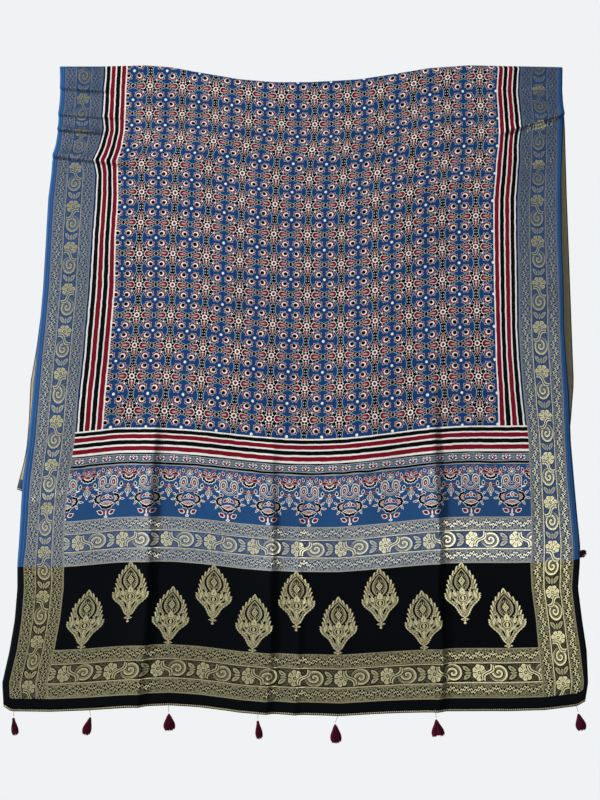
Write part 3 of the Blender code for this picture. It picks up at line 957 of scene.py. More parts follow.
def flower_band_silk(name, wrong_side):
    """Modal silk with the narrow band of balls and flowers."""
    made, tree, shader = new_material(name)
    place = end_place(tree, flat_place(tree))
    _, up, _ = put(tree, "SeparateXYZ", (place,), out=None)
    color = stripes(tree, put(tree, "Math", (FLOWER_BAND * 1000.0, up), operation="SUBTRACT"),
                    FLOWER_BAND_LINES)
    middle = FLOWER_BAND * 1000.0 - 10.2
    ball = repeat(tree, place, (FLOWER_BAND_PITCH, 200.0), (0.0, middle))
    veins = around(tree, ball, 7, 0.3)
    color = stamp(tree, color, oval(tree, ball, (0.0, 0.0), (4.8, 4.8)),
                  (0.80, GREY_WHITE), (0.92, IRON_BLACK), (1.0, GREY_WHITE))
    color = stamp(tree, color, leaf(tree, veins, (2.4, 0.0), (1.7, 0.6)), (1.0, IRON_BLACK))
    bloom = repeat(tree, place, (FLOWER_BAND_PITCH, 200.0), (FLOWER_BAND_PITCH / 2, middle))
    petals = around(tree, bloom, 5, math.pi / 2)
    color = stamp(tree, color, leaf(tree, petals, (3.1, 0.0), (2.9, 2.1)),
                  (0.55, MADDER), (1.0, UNDYED))
    color = stamp(tree, color, fan(tree, bloom, (0.0, 1.0), (5.4, 5.4), -math.pi / 2, 0.0, 0.15),
                  (0.86, MADDER), (1.0, IRON_BLACK))
    color = stamp(tree, color, oval(tree, bloom, (0.0, -1.2), (1.6, 1.3)), (1.0, UNDYED))
    even = put(tree, "VectorMath", (ball,), operation="ABSOLUTE")
    color = stamp(tree, color, leaf(tree, even, (6.6, 2.6), (2.6, 1.1), turn=0.7), (1.0, UNDYED))
    finish_silk(tree, shader, paler(tree, color) if wrong_side else color)
    return made


# %% [markdown]
# ## The paisley row
# Each motif hangs from a flower: two paisleys that face each other over a crescent, toothed
# fans to both sides and below, and three buds at the foot. Half lotuses hang between the
# motifs. All of it is even to left and right, so X is mirrored and one half is drawn.
# Millimetres, down from the top of the row.

# %% Paisley row
PAISLEY_PITCH = 78.5
PAISLEY_FIRST = -371.0
BUD = ((0.70, MADDER), (1.0, UNDYED))
SEED = ((0.66, IRON_BLACK), (1.0, UNDYED))
SPIKE = ((0.50, MADDER), (1.0, UNDYED))
ARM = ((0.76, MADDER), (1.0, DULL_WHITE))
WHITE = ((1.0, UNDYED),)
PAISLEY_RINGS = ((0.12, UNDYED), (0.42, MADDER), (0.54, UNDYED), (0.68, GREY_WHITE),
                 (0.84, IRON_BLACK), (1.0, UNDYED))
FAN = ((0.22, MADDER), (0.32, UNDYED), (0.44, MADDER), (0.52, UNDYED), (0.93, IRON_BLACK),
       (1.0, UNDYED))
CRESCENT = ((0.50, None), (0.58, UNDYED), (0.70, MADDER), (0.76, UNDYED), (0.86, IRON_BLACK),
            (1.0, PALE_INDIGO))

HANGING_MOTIF = (
    # kind, middle_x, middle_y, half_length, half_width, turn_degrees, shape numbers, rings
    ("leaf", 4.4, 5.0, 5.6, 2.2, -36.0, (), ARM),
    ("drop", 12.8, 7.4, 4.4, 2.7, -62.0, (1.2,), BUD),
    ("leaf", 15.4, 15.2, 4.6, 2.0, 18.0, (), ARM),
    ("drop", 10.8, 31.0, 12.6, 8.1, 84.0, (2.2, 0.9), PAISLEY_RINGS),
    ("leaf", 21.6, 43.2, 5.2, 1.6, -18.0, (0.0, -0.4), WHITE),
    ("drop", 25.4, 35.2, 5.0, 3.3, -84.0, (1.2,), SEED),
    ("drop", 14.4, 49.0, 4.6, 3.0, 168.0, (0.8,), BUD),
    ("fan", 13.0, 62.2, 12.2, 10.4, -4.0, (9.0, -0.05), FAN),
    ("leaf", 27.3, 54.0, 4.8, 2.0, -38.0, (0.3,), SPIKE),
    ("leaf", 29.8, 64.3, 5.2, 2.1, 6.0, (0.3,), SPIKE),
    ("leaf", 22.0, 73.2, 4.8, 2.1, 58.0, (0.3,), SPIKE),
    ("leaf", 5.6, 59.0, 6.6, 3.2, 34.0, (), BUD),
    ("drop", 11.8, 87.2, 6.8, 4.3, -28.0, (1.4,), BUD),
)
HANGING_MIDDLE = (
    ("fan", 0.0, 35.4, 13.2, 15.0, 90.0, (0.0, 0.18), CRESCENT),
    ("drop", 0.0, 35.8, 3.0, 2.0, -90.0, (0.8,), BUD),
    ("leaf", 0.0, 57.6, 5.6, 4.0, 90.0, (0.2,), ((0.20, UNDYED), (0.62, MADDER), (1.0, UNDYED))),
    ("fan", 0.0, 70.0, 12.6, 14.8, 90.0, (10.0, 0.12), FAN),
    ("leaf", 0.0, 71.2, 13.6, 4.6, 0.0, (), ((0.24, MADDER), (0.40, UNDYED), (0.70, MADDER),
                                             (1.0, UNDYED))),
    ("leaf", 0.0, 89.0, 8.6, 3.0, 90.0, (), ((0.50, UNDYED), (1.0, MADDER))),
    ("oval", 0.0, 95.8, 3.7, 2.3, 0.0, (), ((0.34, MADDER), (1.0, UNDYED))),
)
LOTUS = (
    ("leaf", 11.0, 14.4, 7.4, 3.4, -6.0, (), ARM),
    ("leaf", 8.4, 10.2, 4.8, 2.2, -40.0, (), BUD),
    ("leaf", 5.6, 6.4, 7.4, 2.1, -37.0, (), ARM),
    ("drop", 18.8, 10.6, 4.8, 2.6, -72.0, (1.0,), BUD),
    ("drop", 19.6, 19.4, 4.6, 2.3, 62.0, (1.0,), BUD),
    ("leaf", 6.2, 39.0, 6.0, 2.6, -24.0, (), ARM),
)
LOTUS_MIDDLE = (
    ("fan", 0.0, 16.6, 13.4, 15.4, 90.0, (13.0, 0.10),
     ((0.16, GREY_WHITE), (0.42, MADDER), (0.58, UNDYED), (0.90, IRON_BLACK), (1.0, UNDYED))),
    ("leaf", 0.0, 15.4, 7.6, 3.4, 0.0, (), ((0.30, IRON_BLACK), (0.55, UNDYED), (1.0, MADDER))),
    ("leaf", 0.0, 10.2, 3.6, 2.4, 90.0, (), SPIKE),
    ("leaf", 0.0, 38.8, 4.4, 2.4, 90.0, (), SPIKE),
    ("leaf", 0.0, 48.6, 7.2, 6.6, 90.0, (), ((0.18, IRON_BLACK), (0.36, UNDYED), (0.56, "#3C3838"),
                                            (0.70, GREY_WHITE), (0.84, "#55504F"), (1.0, UNDYED))),
    ("drop", 0.0, 56.8, 4.2, 2.0, 90.0, (0.8,), SPIKE),
)
FLOWER_PETAL = ((0.58, IRON_BLACK), (1.0, UNDYED))


def paisley_silk(name, wrong_side):
    """Indigo modal silk with the row of paisleys and lotuses."""
    made, tree, shader = new_material(name)
    x, up, _ = put(tree, "SeparateXYZ", (end_place(tree, flat_place(tree)),), out=None)
    down = put(tree, "Math", (PAISLEY_ROW * 1000.0, up), operation="SUBTRACT")
    place = put(tree, "CombineXYZ", (x, down))
    motif = repeat(tree, place, (PAISLEY_PITCH, 400.0), (PAISLEY_FIRST, 0.0))
    color = stamp_table(tree, linear(LIGHT_INDIGO), mirrored(tree, motif), HANGING_MOTIF)
    flower = put(tree, "VectorMath", (motif, (0.0, 13.6, 0.0)), operation="SUBTRACT")
    flower = around(tree, flower, 8)
    color = stamp(tree, color, leaf(tree, flower, (4.4, 0.0), (3.9, 1.8)), *FLOWER_PETAL)
    color = stamp(tree, color, oval(tree, flower, (0.0, 0.0), (1.7, 1.7)), *WHITE)
    color = stamp_table(tree, color, motif, HANGING_MIDDLE)
    between = repeat(tree, place, (PAISLEY_PITCH, 400.0), (PAISLEY_FIRST + PAISLEY_PITCH / 2, 0.0))
    color = stamp_table(tree, color, between, LOTUS_MIDDLE)
    color = stamp_table(tree, color, mirrored(tree, between), LOTUS)
    finish_silk(tree, shader, paler(tree, color) if wrong_side else color)
    return made


# %% [markdown]
# ## Woven zari
# Zari is a flat metal thread wound on silk, woven in as an extra weft. The border is dense:
# a mottled ground of gold and silk, a zigzag net of small lozenges near each edge, and a
# vine in the middle with a rosette, an S stem and a swirl, flipped at each repeat.
# Here 1 means all gold and 0 all ground.

# %% Zari pattern
ZARI_UNIT = 168.0
ZARI_DARK, ZARI_BRIGHT = "#000000", "#FFFFFF"
CHAIN_PITCH = 6.4           # 4 mm on the real cloth, drawn coarser so that it can be seen
CHAIN_WAVE = 27.0
CHAIN_SWING = 4.2
CHAIN_MIDDLES = (0.165, 0.852)
RIBBON_HALF = 0.80          # the net is this many pitches wide to each side
MOUND = (6.6, 3.8)
MOUND_OFF = 4.4
VINE_MIDDLE = 0.505
VINE_HALF = 0.178
ZARI_LINES = (
    # share of the border's width where it starts, how gold it is
    (0.0, "#B0B0B0"), (0.020, None), (0.300, ZARI_BRIGHT), (0.318, ZARI_DARK), (0.334, None),
    (0.676, ZARI_DARK), (0.692, ZARI_BRIGHT), (0.710, None), (0.984, "#B0B0B0"),
)
STEM = ((0.20, ZARI_DARK), (0.70, ZARI_BRIGHT), (1.0, ZARI_DARK))
VINE_LEAF = ((0.14, ZARI_DARK), (0.66, "#C8C8C8"), (1.0, ZARI_DARK))
SWIRL_TURNS = 2.1
ROSE_PETALS = 7
ROSE_GAP = math.pi / ROSE_PETALS


def mottle(tree, place, low=0.0, high=0.54, size=0.42):
    """Gold and ground mixed in flecks of two or three millimetres."""
    grain = put(tree, "VectorMath", (place, (1.0, 0.8, 1.0)), operation="MULTIPLY")
    fleck = put(tree, "TexNoise", {"Vector": grain, "Scale": size, "Detail": 3.0})
    tone = put(tree, "MapRange", (fleck, 0.36, 0.64, low, high))
    return put(tree, "CombineXYZ", (tone, tone, tone))


def zari_chain(tree, color, place, along, depth, middle, side):
    """A ribbon of small lozenges that swings in a zigzag, with gold mounds in its hollows."""
    mound = repeat(tree, place, (CHAIN_WAVE, 400.0), (CHAIN_WAVE * (0.5 - 0.5 * side), middle))
    color = stamp(tree, color, oval(tree, mound, (0.0, MOUND_OFF * (1 - 2 * side)), MOUND),
                  (0.80, ZARI_BRIGHT), (1.0, ZARI_DARK))
    zigzag = put(tree, "Math", (along, CHAIN_WAVE / 2), operation="PINGPONG")
    zigzag = put(tree, "Math", (zigzag, 4 * CHAIN_SWING / CHAIN_WAVE, -CHAIN_SWING),
                 operation="MULTIPLY_ADD")
    off = put(tree, "Math", (depth, middle), operation="SUBTRACT")
    off = put(tree, "Math", (off, zigzag), operation="SUBTRACT")
    net = repeat(tree, put(tree, "CombineXYZ", (along, off)), (CHAIN_PITCH, CHAIN_PITCH))
    net = lozenge(tree, net, (0.0, 0.0), (CHAIN_PITCH, CHAIN_PITCH))
    lines = stamp(tree, linear(ZARI_DARK), net, (0.34, ZARI_DARK), (0.62, ZARI_BRIGHT))
    wide = put(tree, "Math", (off,), operation="ABSOLUTE")
    wide = put(tree, "Math", (wide, RIBBON_HALF * CHAIN_PITCH), operation="DIVIDE")
    color = stamp(tree, color, wide, (1.0, ZARI_DARK))
    ribbon = put(tree, "Math", (wide, 0.80), operation="LESS_THAN")
    return mix(tree, ribbon, color, lines)


def zari_swirl(tree, color, place, size):
    """A spiral of light thread that winds in from its rim."""
    local = laid(tree, place, (5.0, 0.0), size, 0.0)
    angle = put(tree, "Math", (angle_round(tree, local), 0.5 / math.pi), operation="MULTIPLY")
    far = far_from_middle(tree, local)
    wound = put(tree, "Math", (far, SWIRL_TURNS, angle), operation="MULTIPLY_ADD")
    ring = put(tree, "Math", (wound,), operation="FRACT")
    line = stamp(tree, linear(ZARI_DARK), ring, (0.16, ZARI_DARK), (0.40, "#A0A0A0"),
                 (0.50, ZARI_DARK), (0.92, ZARI_BRIGHT))
    color = stamp(tree, color, far, (1.0, ZARI_DARK))
    within = put(tree, "Math", (far, 0.95), operation="LESS_THAN")
    return mix(tree, within, color, line)


def zari_rosette(tree, color, place, size):
    """A squarish rosette of seven broad petals with dark veins between them."""
    rose = laid(tree, place, (-30.0, 0.0), size, 0.0)
    rim = scalloped(tree, rose, ROSE_PETALS, TOOTH_DEPTH)
    color = stamp(tree, color, rim, (0.91, ZARI_BRIGHT), (1.0, ZARI_DARK))
    between = around(tree, rose, ROSE_PETALS, ROSE_GAP)
    color = stamp(tree, color, leaf(tree, between, (0.64, 0.0), (0.34, 0.055)), (1.0, ZARI_DARK))
    vein = around(tree, rose, ROSE_PETALS)
    color = stamp(tree, color, leaf(tree, vein, (0.58, 0.0), (0.20, 0.035)), (1.0, "#505050"))
    return stamp(tree, color, oval(tree, rose, (0.0, 0.0), (0.22, 0.20)),
                 (0.5, ZARI_BRIGHT), (1.0, ZARI_DARK))


def zari_vine(tree, color, place, middle, half):
    """Rosette, stem, swirl and leaves of the vine, the right way up and then flipped."""
    for start, flip in ((0.0, 1.0), (ZARI_UNIT / 2, -1.0)):
        local = repeat(tree, place, (ZARI_UNIT, 400.0), (start + 30.0, middle))
        local = put(tree, "VectorMath", (local, (1.0, flip, 1.0)), operation="MULTIPLY")
        color = stamp_table(tree, color, local, (
            ("leaf", 30.5, -7.0, 10.5, 5.8, 30.0, (0.2, 0.3), VINE_LEAF),
            ("leaf", 30.5, 7.0, 10.5, 5.8, -30.0, (0.2, -0.3), VINE_LEAF),
            ("leaf", 33.0, 0.0, 8.0, 3.4, 0.0, (), VINE_LEAF),
        ))
        color = zari_rosette(tree, color, local, (13.8, half * 1.02))
        color = zari_swirl(tree, color, local, (18.5, half * 1.06))
        color = stamp_table(tree, color, local, (
            ("stem", -14.0, 0.5, half * 1.06, 5.2, 58.0, (0.8,), STEM),
        ))
    return color


def zari_figure(tree, along, depth, width):
    """How gold a border is at a place along it and deep in it."""
    place = put(tree, "CombineXYZ", (along, depth))
    color = mottle(tree, place)
    share = put(tree, "Math", (depth, width), operation="DIVIDE")
    within = put(tree, "Math", (share, VINE_MIDDLE, VINE_HALF), operation="COMPARE")
    color = mix(tree, within, color, mottle(tree, place, 0.0, 0.18))
    for side, middle in enumerate(CHAIN_MIDDLES):
        color = zari_chain(tree, color, place, along, depth, middle * width, side)
    color = zari_vine(tree, color, place, VINE_MIDDLE * width, VINE_HALF * width)
    stops = [(start, linear(code) if code else (0.0, 0.0, 0.0, 0.0)) for start, code in ZARI_LINES]
    line, cover = put(tree, "ValToRGB", (share,), out=None, stops=stops)
    return mix(tree, cover, color, line)


# %% [markdown]
# Gold thread is metal, so it shines where it faces the light and is dull elsewhere. Down each side
# border the gold colour itself is also painted: darker near the fold as painted shade, and lighter
# lower down as a painted gleam. On the wrong side the threads float from figure to figure, so it is
# plain, streaked and tan.

# %% Zari finish
# Painted shade and gleam: millimetres down a side over which its gold is painted from dark to light
PAINTED_GLEAM_REACH = 1050.0     # millimetres down a side until its gold is at its lightest


def finish_zari(tree, shader, figure, ground, gold, metallic=0.92):
    """Lay gold over the ground by the figure, with the metal's gleam."""
    color = mix(tree, figure, linear(ground), gold)
    tree.links.new(uneven_dye(tree, color, 0.80, 1.18), shader.inputs["Base Color"])
    metal = put(tree, "MapRange", (figure, 0.0, 1.0, 0.0, metallic))
    tree.links.new(metal, shader.inputs["Metallic"])
    rough = put(tree, "MapRange", (figure, 0.0, 1.0, 0.60, 0.36))
    tree.links.new(rough, shader.inputs["Roughness"])
    shader.inputs["Specular IOR Level"].default_value = 0.04
    bump = put(tree, "Bump", {"Strength": 0.30, "Distance": 0.0003, "Height": weave_height(tree)})
    tree.links.new(bump, shader.inputs["Normal"])


def floats(tree, along, depth, ground):
    """The wrong side of zari: tan floats in streaks, with the ground between."""
    place = put(tree, "CombineXYZ", (along, depth))
    streak = put(tree, "VectorMath", (place, (0.06, 0.9, 1.0)), operation="MULTIPLY")
    streak = put(tree, "TexNoise", {"Vector": streak, "Scale": 1.0, "Detail": 3.0})
    cover = put(tree, "MapRange", (streak, 0.35, 0.62, 0.35, 0.0))
    return mix(tree, cover, linear(FLOAT_TAN), linear(ground))


def zari_silk(name, ground, crosswise, start, width, wrong_side):
    """Silk with woven zari: along a side, or crosswise between two heights of an end."""
    made, tree, shader = new_material(name)
    place = flat_place(tree, 0.0012, 40.0)
    if crosswise:
        along, up, _ = put(tree, "SeparateXYZ", (end_place(tree, place),), out=None)
        depth = put(tree, "Math", (up, start * 1000.0), operation="SUBTRACT")
    else:
        x, y, _ = put(tree, "SeparateXYZ", (place,), out=None)
        side = put(tree, "Math", (x,), operation="ABSOLUTE")
        depth = put(tree, "Math", (side, 1000.0, -start * 1000.0), operation="MULTIPLY_ADD")
        along = put(tree, "Math", (y, 1000.0), operation="MULTIPLY")
    if wrong_side:
        finish_silk(tree, shader, floats(tree, along, depth, ground), 0.5)
    else:
        if crosswise:
            gold = linear(GOLD_BRIGHT if ground == INDIGO else GOLD_LIGHT)
        else:
            # Painted shade and gleam: the side borders' gold is painted darker near the fold and
            # lighter lower down the front
            lower = put(tree, "MapRange", (along, 0.0, PAINTED_GLEAM_REACH, 0.0, 1.0))
            gold = mix(tree, lower, linear(GOLD_IN_PAINTED_SHADE), linear(GOLD_LIGHT))
        figure = zari_figure(tree, along, depth, width * 1000.0)
        finish_zari(tree, shader, figure, ground, gold)
    return made


# %% [markdown]
# ## The black end with its gold motifs
# Eleven woven motifs stand on the black ground in two staggered rows. Each is a leaf with
# flame-like teeth. A pointed leaf with rays round a lozenge fills its upper half, an eye and
# curled leaves lie below it, and a cross of buds ends it at the foot.

# %% Black ground
MOTIF_PITCH = 79.4
MOTIF_MIDDLE = -2.0
MOTIF_HIGH = 214.5
MOTIF_LOW = 166.0
MOTIF_HALF_HEIGHT = 57.5
MOTIF_LAST = 436.0
MOTIF_EDGE = (
    # share of the height from the foot, share of the pitch that half the motif takes
    (0.0, 0.0), (0.015, 0.035), (0.045, 0.012), (0.080, 0.095), (0.102, 0.022), (0.125, 0.075),
    (0.28, 0.225), (0.353, 0.345), (0.42, 0.425), (0.47, 0.435), (0.52, 0.390), (0.60, 0.365),
    (0.68, 0.340), (0.76, 0.290), (0.84, 0.205), (0.90, 0.130), (0.95, 0.060), (1.0, 0.0))
MOTIF_WAIST = -2.0          # the teeth are larger and wider apart above this height
MOTIF_TEETH = 0.062
UPPER_TOOTH, LOWER_TOOTH = 8.2, 4.4
VOID = ((1.0, ZARI_DARK),)
PART = ((0.10, ZARI_DARK), (0.86, ZARI_BRIGHT), (1.0, ZARI_DARK))

MOTIF_MIDDLE_PARTS = (
    # kind, middle_x, middle_y, half_length, half_width, turn_degrees, shape numbers, rings
    ("leaf", 0.0, 22.5, 24.5, 18.5, 90.0, (0.25,), ((0.62, "#2C2C2C"), (0.78, "#C0C0C0"),
                                                    (1.0, ZARI_DARK))),
    ("leaf", 0.0, 2.5, 8.5, 6.5, 90.0, (0.3,), PART),
    ("oval", 0.0, -9.5, 9.0, 7.4, 0.0, (), ((0.66, ZARI_DARK), (0.86, ZARI_BRIGHT),
                                            (1.0, ZARI_DARK))),
    ("leaf", 0.0, -9.5, 4.6, 2.6, 90.0, (), ((1.0, ZARI_BRIGHT),)),
    ("leaf", 0.0, -25.0, 9.0, 2.6, 90.0, (), PART),
)
MOTIF_SIDE_PARTS = (
    ("leaf", 15.0, 0.0, 9.0, 3.6, 68.0, (0.3, 0.3), PART),
    ("leaf", 24.5, -3.5, 8.5, 2.8, 104.0, (0.2, -0.4), PART),
    ("leaf", 11.0, -16.5, 11.5, 2.4, 42.0, (0.0, 0.6), PART),
    ("leaf", 7.5, -24.5, 8.0, 1.9, 62.0, (0.0, 0.5), VOID),
    ("leaf", 19.0, -12.5, 5.5, 1.7, 30.0, (), VOID),
    ("oval", 19.2, 4.0, 2.2, 3.2, -20.0, (), VOID),
    ("oval", 11.6, 3.2, 1.6, 2.6, 20.0, (), VOID),
    ("oval", 14.6, -8.2, 2.6, 1.5, 30.0, (), VOID),
)


def motif_figure(tree, side, height):
    """How gold one motif is, from its middle."""
    place = put(tree, "CombineXYZ", (side, height))
    share = put(tree, "MapRange", (height, -MOTIF_HALF_HEIGHT, MOTIF_HALF_HEIGHT, 0.0, 1.0))
    edge = put(tree, "FloatCurve", {1: share}, points=MOTIF_EDGE)
    upper = put(tree, "Math", (height, MOTIF_WAIST), operation="GREATER_THAN")
    steps = put(tree, "Math", (upper, 1 / UPPER_TOOTH - 1 / LOWER_TOOTH, 1 / LOWER_TOOTH),
                operation="MULTIPLY_ADD")
    flames = put(tree, "Math", (height, steps), operation="MULTIPLY")
    flames = put(tree, "Math", (flames,), operation="FRACT")
    flames = put(tree, "Math", (flames, 0.45), operation="SUBTRACT")
    calm = put(tree, "Math", (edge, 9.0), operation="MULTIPLY", use_clamp=True)
    size = put(tree, "Math", (upper, MOTIF_TEETH * 0.6, MOTIF_TEETH * 0.4),
               operation="MULTIPLY_ADD")
    calm = put(tree, "Math", (calm, size), operation="MULTIPLY")
    edge = put(tree, "Math", (flames, calm, edge), operation="MULTIPLY_ADD")
    even = put(tree, "Math", (side,), operation="ABSOLUTE")
    even = put(tree, "Math", (even, MOTIF_PITCH), operation="DIVIDE")
    depth = put(tree, "Math", (edge, even), operation="SUBTRACT", use_clamp=True)
    inside = put(tree, "Math", (depth, 0.003), operation="GREATER_THAN")
    figure = stamp(tree, mottle(tree, place, 0.0, 1.0, 0.5), depth, (0.036, ZARI_BRIGHT),
                   (0.052, ZARI_DARK))
    figure = stamp_table(tree, figure, mirrored(tree, place), MOTIF_SIDE_PARTS)
    figure = stamp_table(tree, figure, place, MOTIF_MIDDLE_PARTS)
    heart = put(tree, "VectorMath", (place, (0.0, 22.0, 0.0)), operation="SUBTRACT")
    rays = around(tree, heart, 18)
    figure = stamp(tree, figure, leaf(tree, rays, (10.8, 0.0), (3.0, 1.1)), (1.0, "#B8B8B8"))
    figure = stamp(tree, figure, lozenge(tree, heart, (0.0, 0.0), (7.2, 10.0)),
                   (0.20, ZARI_DARK), (0.46, ZARI_BRIGHT), (0.60, ZARI_DARK),
                   (0.86, ZARI_BRIGHT), (1.0, ZARI_DARK))
    return put(tree, "VectorMath", {0: figure, "Scale": inside}, operation="SCALE")


def black_ground_silk(name, wrong_side):
    """Black silk with woven gold motifs in two staggered rows."""
    made, tree, shader = new_material(name)
    x, up, _ = put(tree, "SeparateXYZ", (end_place(tree, flat_place(tree, 0.0015, 40.0)),),
                   out=None)
    moved = put(tree, "Math", (x, MOTIF_MIDDLE), operation="SUBTRACT")
    double = put(tree, "Math", (moved, MOTIF_PITCH, -MOTIF_PITCH), operation="WRAP")
    double = put(tree, "Math", (double,), operation="ABSOLUTE")
    low = put(tree, "Math", (double, MOTIF_PITCH / 2), operation="GREATER_THAN")
    centre = put(tree, "Math", (low, MOTIF_LOW - MOTIF_HIGH, MOTIF_HIGH),
                 operation="MULTIPLY_ADD")
    side = put(tree, "Math", (moved, MOTIF_PITCH / 2, -MOTIF_PITCH / 2), operation="WRAP")
    height = put(tree, "Math", (up, centre), operation="SUBTRACT")
    figure = motif_figure(tree, side, height)
    reach = put(tree, "Math", (x,), operation="ABSOLUTE")
    reach = put(tree, "Math", (reach, MOTIF_LAST), operation="LESS_THAN")
    figure = put(tree, "VectorMath", {0: figure, "Scale": reach}, operation="SCALE")
    if wrong_side:
        color = mix(tree, figure, linear(BLACK_REVERSE), linear(FLOAT_TAN))
        finish_silk(tree, shader, color)
    else:
        finish_zari(tree, shader, figure, ZARI_BLACK, linear(GOLD_LIGHT), 0.75)
    return made


# %% [markdown]
# ## Plain edges
# The selvedges are plain, closely woven silk. Their wrong side carries the ends of the gold floats,
# so it is tan, and its outer edge is painted dark grey-brown as shade. At the hem a single gold
# line is woven in.

# %% Selvedges and hem
def plain_silk(name, ground, wrong_side, gold_line=False):
    """Plain woven silk, with a dotted gold line along the hem if asked."""
    made, tree, shader = new_material(name)
    place = end_place(tree, flat_place(tree, 0.001, 40.0))
    color = linear(ground)
    if gold_line:
        dash = repeat(tree, place, (3.6, 400.0), (0.0, 2.6))
        color = stamp(tree, color, oval(tree, dash, (0.0, 0.0), (1.5, 1.2)), (1.0, GOLD_LIGHT))
        if wrong_side:
            color = paler(tree, color, 0.2)
    elif wrong_side:
        x, y, _ = put(tree, "SeparateXYZ", (place,), out=None)
        side = put(tree, "Math", (x,), operation="ABSOLUTE")
        # The outer 2.2 mm of the wrong side is painted dark as shade
        edge = put(tree, "Math", (side, HALF_WIDTH * 1000.0 - 2.2), operation="GREATER_THAN")
        tan = floats(tree, y, side, ground)
        color = mix(tree, edge, tan, linear(EDGE_PAINTED_SHADE))
    else:
        x, y, _ = put(tree, "SeparateXYZ", (place,), out=None)
        rib = repeat(tree, put(tree, "CombineXYZ", (x, 0.0)), (6.0, 400.0), (2.0, 0.0))
        color = stamp(tree, color, oval(tree, rib, (0.0, 0.0), (0.7, 400.0)),
                      (1.0, BLACK_RIB if ground == ZARI_BLACK else INDIGO_RIB))
    finish_silk(tree, shader, color)
    return made


# %% [markdown]
# ## Putting the materials on
# The slots of the right side come first, in the order of the regions. Solidify makes the
# wrong side, and its material offset moves those faces on to the second half of the list.

# %% Material slots
def strip_materials(wrong_side):
    """All strips of one side of the cloth, in the order of the regions."""
    tail = "_reverse" if wrong_side else ""
    side_width = SELVEDGE - ZARI_INNER
    return (
        field_silk("ajrakh_silk" + tail, wrong_side),
        striped_silk("side_striped_silk" + tail, SIDE_STRIPES, True, wrong_side),
        striped_silk("band_striped_silk" + tail, BAND_STRIPES, False, wrong_side),
        flower_band_silk("flower_band_silk" + tail, wrong_side),
        paisley_silk("paisley_silk" + tail, wrong_side),
        zari_silk("zari_on_indigo_band" + tail, INDIGO, True, BLACK_GROUND,
                  BLUE_ZARI - BLACK_GROUND, wrong_side),
        black_ground_silk("black_silk_gold_motifs" + tail, wrong_side),
        zari_silk("zari_on_black_band" + tail, ZARI_BLACK, True, HEM_STRIP,
                  BLACK_ZARI - HEM_STRIP, wrong_side),
        zari_silk("zari_on_indigo_side" + tail, INDIGO, False, ZARI_INNER, side_width,
                  wrong_side),
        zari_silk("zari_on_black_side" + tail, ZARI_BLACK, False, ZARI_INNER, side_width,
                  wrong_side),
        plain_silk("indigo_selvedge" + tail, LIGHT_INDIGO, wrong_side),
        plain_silk("black_selvedge" + tail, ZARI_BLACK, wrong_side),
        plain_silk("black_hem" + tail, ZARI_BLACK, wrong_side, gold_line=True),
    )


for material in strip_materials(False) + strip_materials(True):
    cloth.data.materials.append(material)
print(len(cloth.data.materials), "materials on the cloth")

# %% [markdown]
# ## Thickness
# A sheet without thickness has no edge to see. Solidify gives it 0.9 mm, centred on the
# middle of the solid, so that both keep the same folds.

# %% Solidify the sheet
SHEET_THICKNESS = 0.0009

bpy.ops.object.select_all(action="DESELECT")
cloth.select_set(True)
bpy.context.view_layer.objects.active = cloth
bpy.ops.object.mode_set(mode="EDIT")
bpy.ops.mesh.select_all(action="SELECT")
bpy.ops.mesh.normals_make_consistent(inside=False)
bpy.ops.object.mode_set(mode="OBJECT")
front_face = max(cloth.data.polygons, key=lambda face: -face.center.y)
if front_face.normal.y > 0.0:
    cloth.data.flip_normals()
shell = cloth.modifiers.new("thickness", "SOLIDIFY")
shell.thickness = SHEET_THICKNESS
shell.offset = 0.0
shell.material_offset = len(REGIONS)
bpy.ops.object.modifier_apply(modifier="thickness")
bpy.ops.object.shade_smooth()
print("cloth triangles:", sum(len(face.vertices) - 2 for face in cloth.data.polygons))

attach(cloth, "root")
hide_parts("cloth")

# %% [markdown]
# ## Tassels
# A tassel is a bundle of yarn, bound to a head, on a thread through the hem. One straight
# tassel is modelled, and each of the fourteen is a copy that is widened and bent its own
# way. The strands are thin bars of four sides, set round the head in a sunflower spiral.

# %% Tables of the tassels
HEAD_RADIUS = 0.0026
HEAD_LENGTH = 0.0065
THREAD_RADIUS = 0.00045
TASSEL_FLATNESS = 0.62
CORNER_TASSEL_SWING = 0.016
THREAD_TUCKED = 0.003       # the thread passes this far into the hem
SKIRT_START = 0.55          # share of the head's length where the strands begin

FRONT_TASSELS = (
    # hem_x, head_dx, head_drop, tip_dx, tip_drop, width, parting
    (-0.5260, -0.0015, 0.0115, 0.0050, 0.0305, 0.0125, 0.0),
    (-0.3875, 0.0028, 0.0125, -0.0083, 0.0305, 0.0160, 0.0),
    (-0.2430, 0.0011, 0.0150, 0.0018, 0.0295, 0.0212, 0.0),
    (-0.0763, -0.0007, 0.0115, 0.0035, 0.0317, 0.0130, 0.0),
    (0.0717, -0.0063, 0.0147, 0.0017, 0.0326, 0.0203, 0.0),
    (0.2484, 0.0009, 0.0120, 0.0035, 0.0292, 0.0190, 0.0080),
    (0.5100, 0.0042, 0.0136, 0.0052, 0.0292, 0.0194, 0.0),
)

BACK_TASSELS = (
    # hem_x, head_dx, head_drop, tip_dx, tip_drop, width, parting
    (-0.5200, 0.0010, 0.0125, 0.0030, 0.0305, 0.0150, 0.0),
    (-0.3750, -0.0020, 0.0120, -0.0030, 0.0310, 0.0135, 0.0),
    (-0.2150, 0.0015, 0.0140, 0.0040, 0.0300, 0.0180, 0.0030),
    (-0.0550, -0.0010, 0.0120, -0.0045, 0.0310, 0.0160, 0.0),
    (0.1100, 0.0020, 0.0130, 0.0025, 0.0300, 0.0190, 0.0),
    (0.2900, -0.0012, 0.0125, -0.0030, 0.0305, 0.0140, 0.0),
    (0.5180, 0.0130, 0.0060, 0.0240, 0.0035, 0.0165, 0.0),
)

# %% [markdown]
# The pattern tassel stands upright with 0 at the head's top and everything below it. Its
# numbers are shares: a skirt one wide and one long, so a copy only has to multiply. The
# *part* attribute tells thread, head and strands apart, and *yarn* varies the dye.

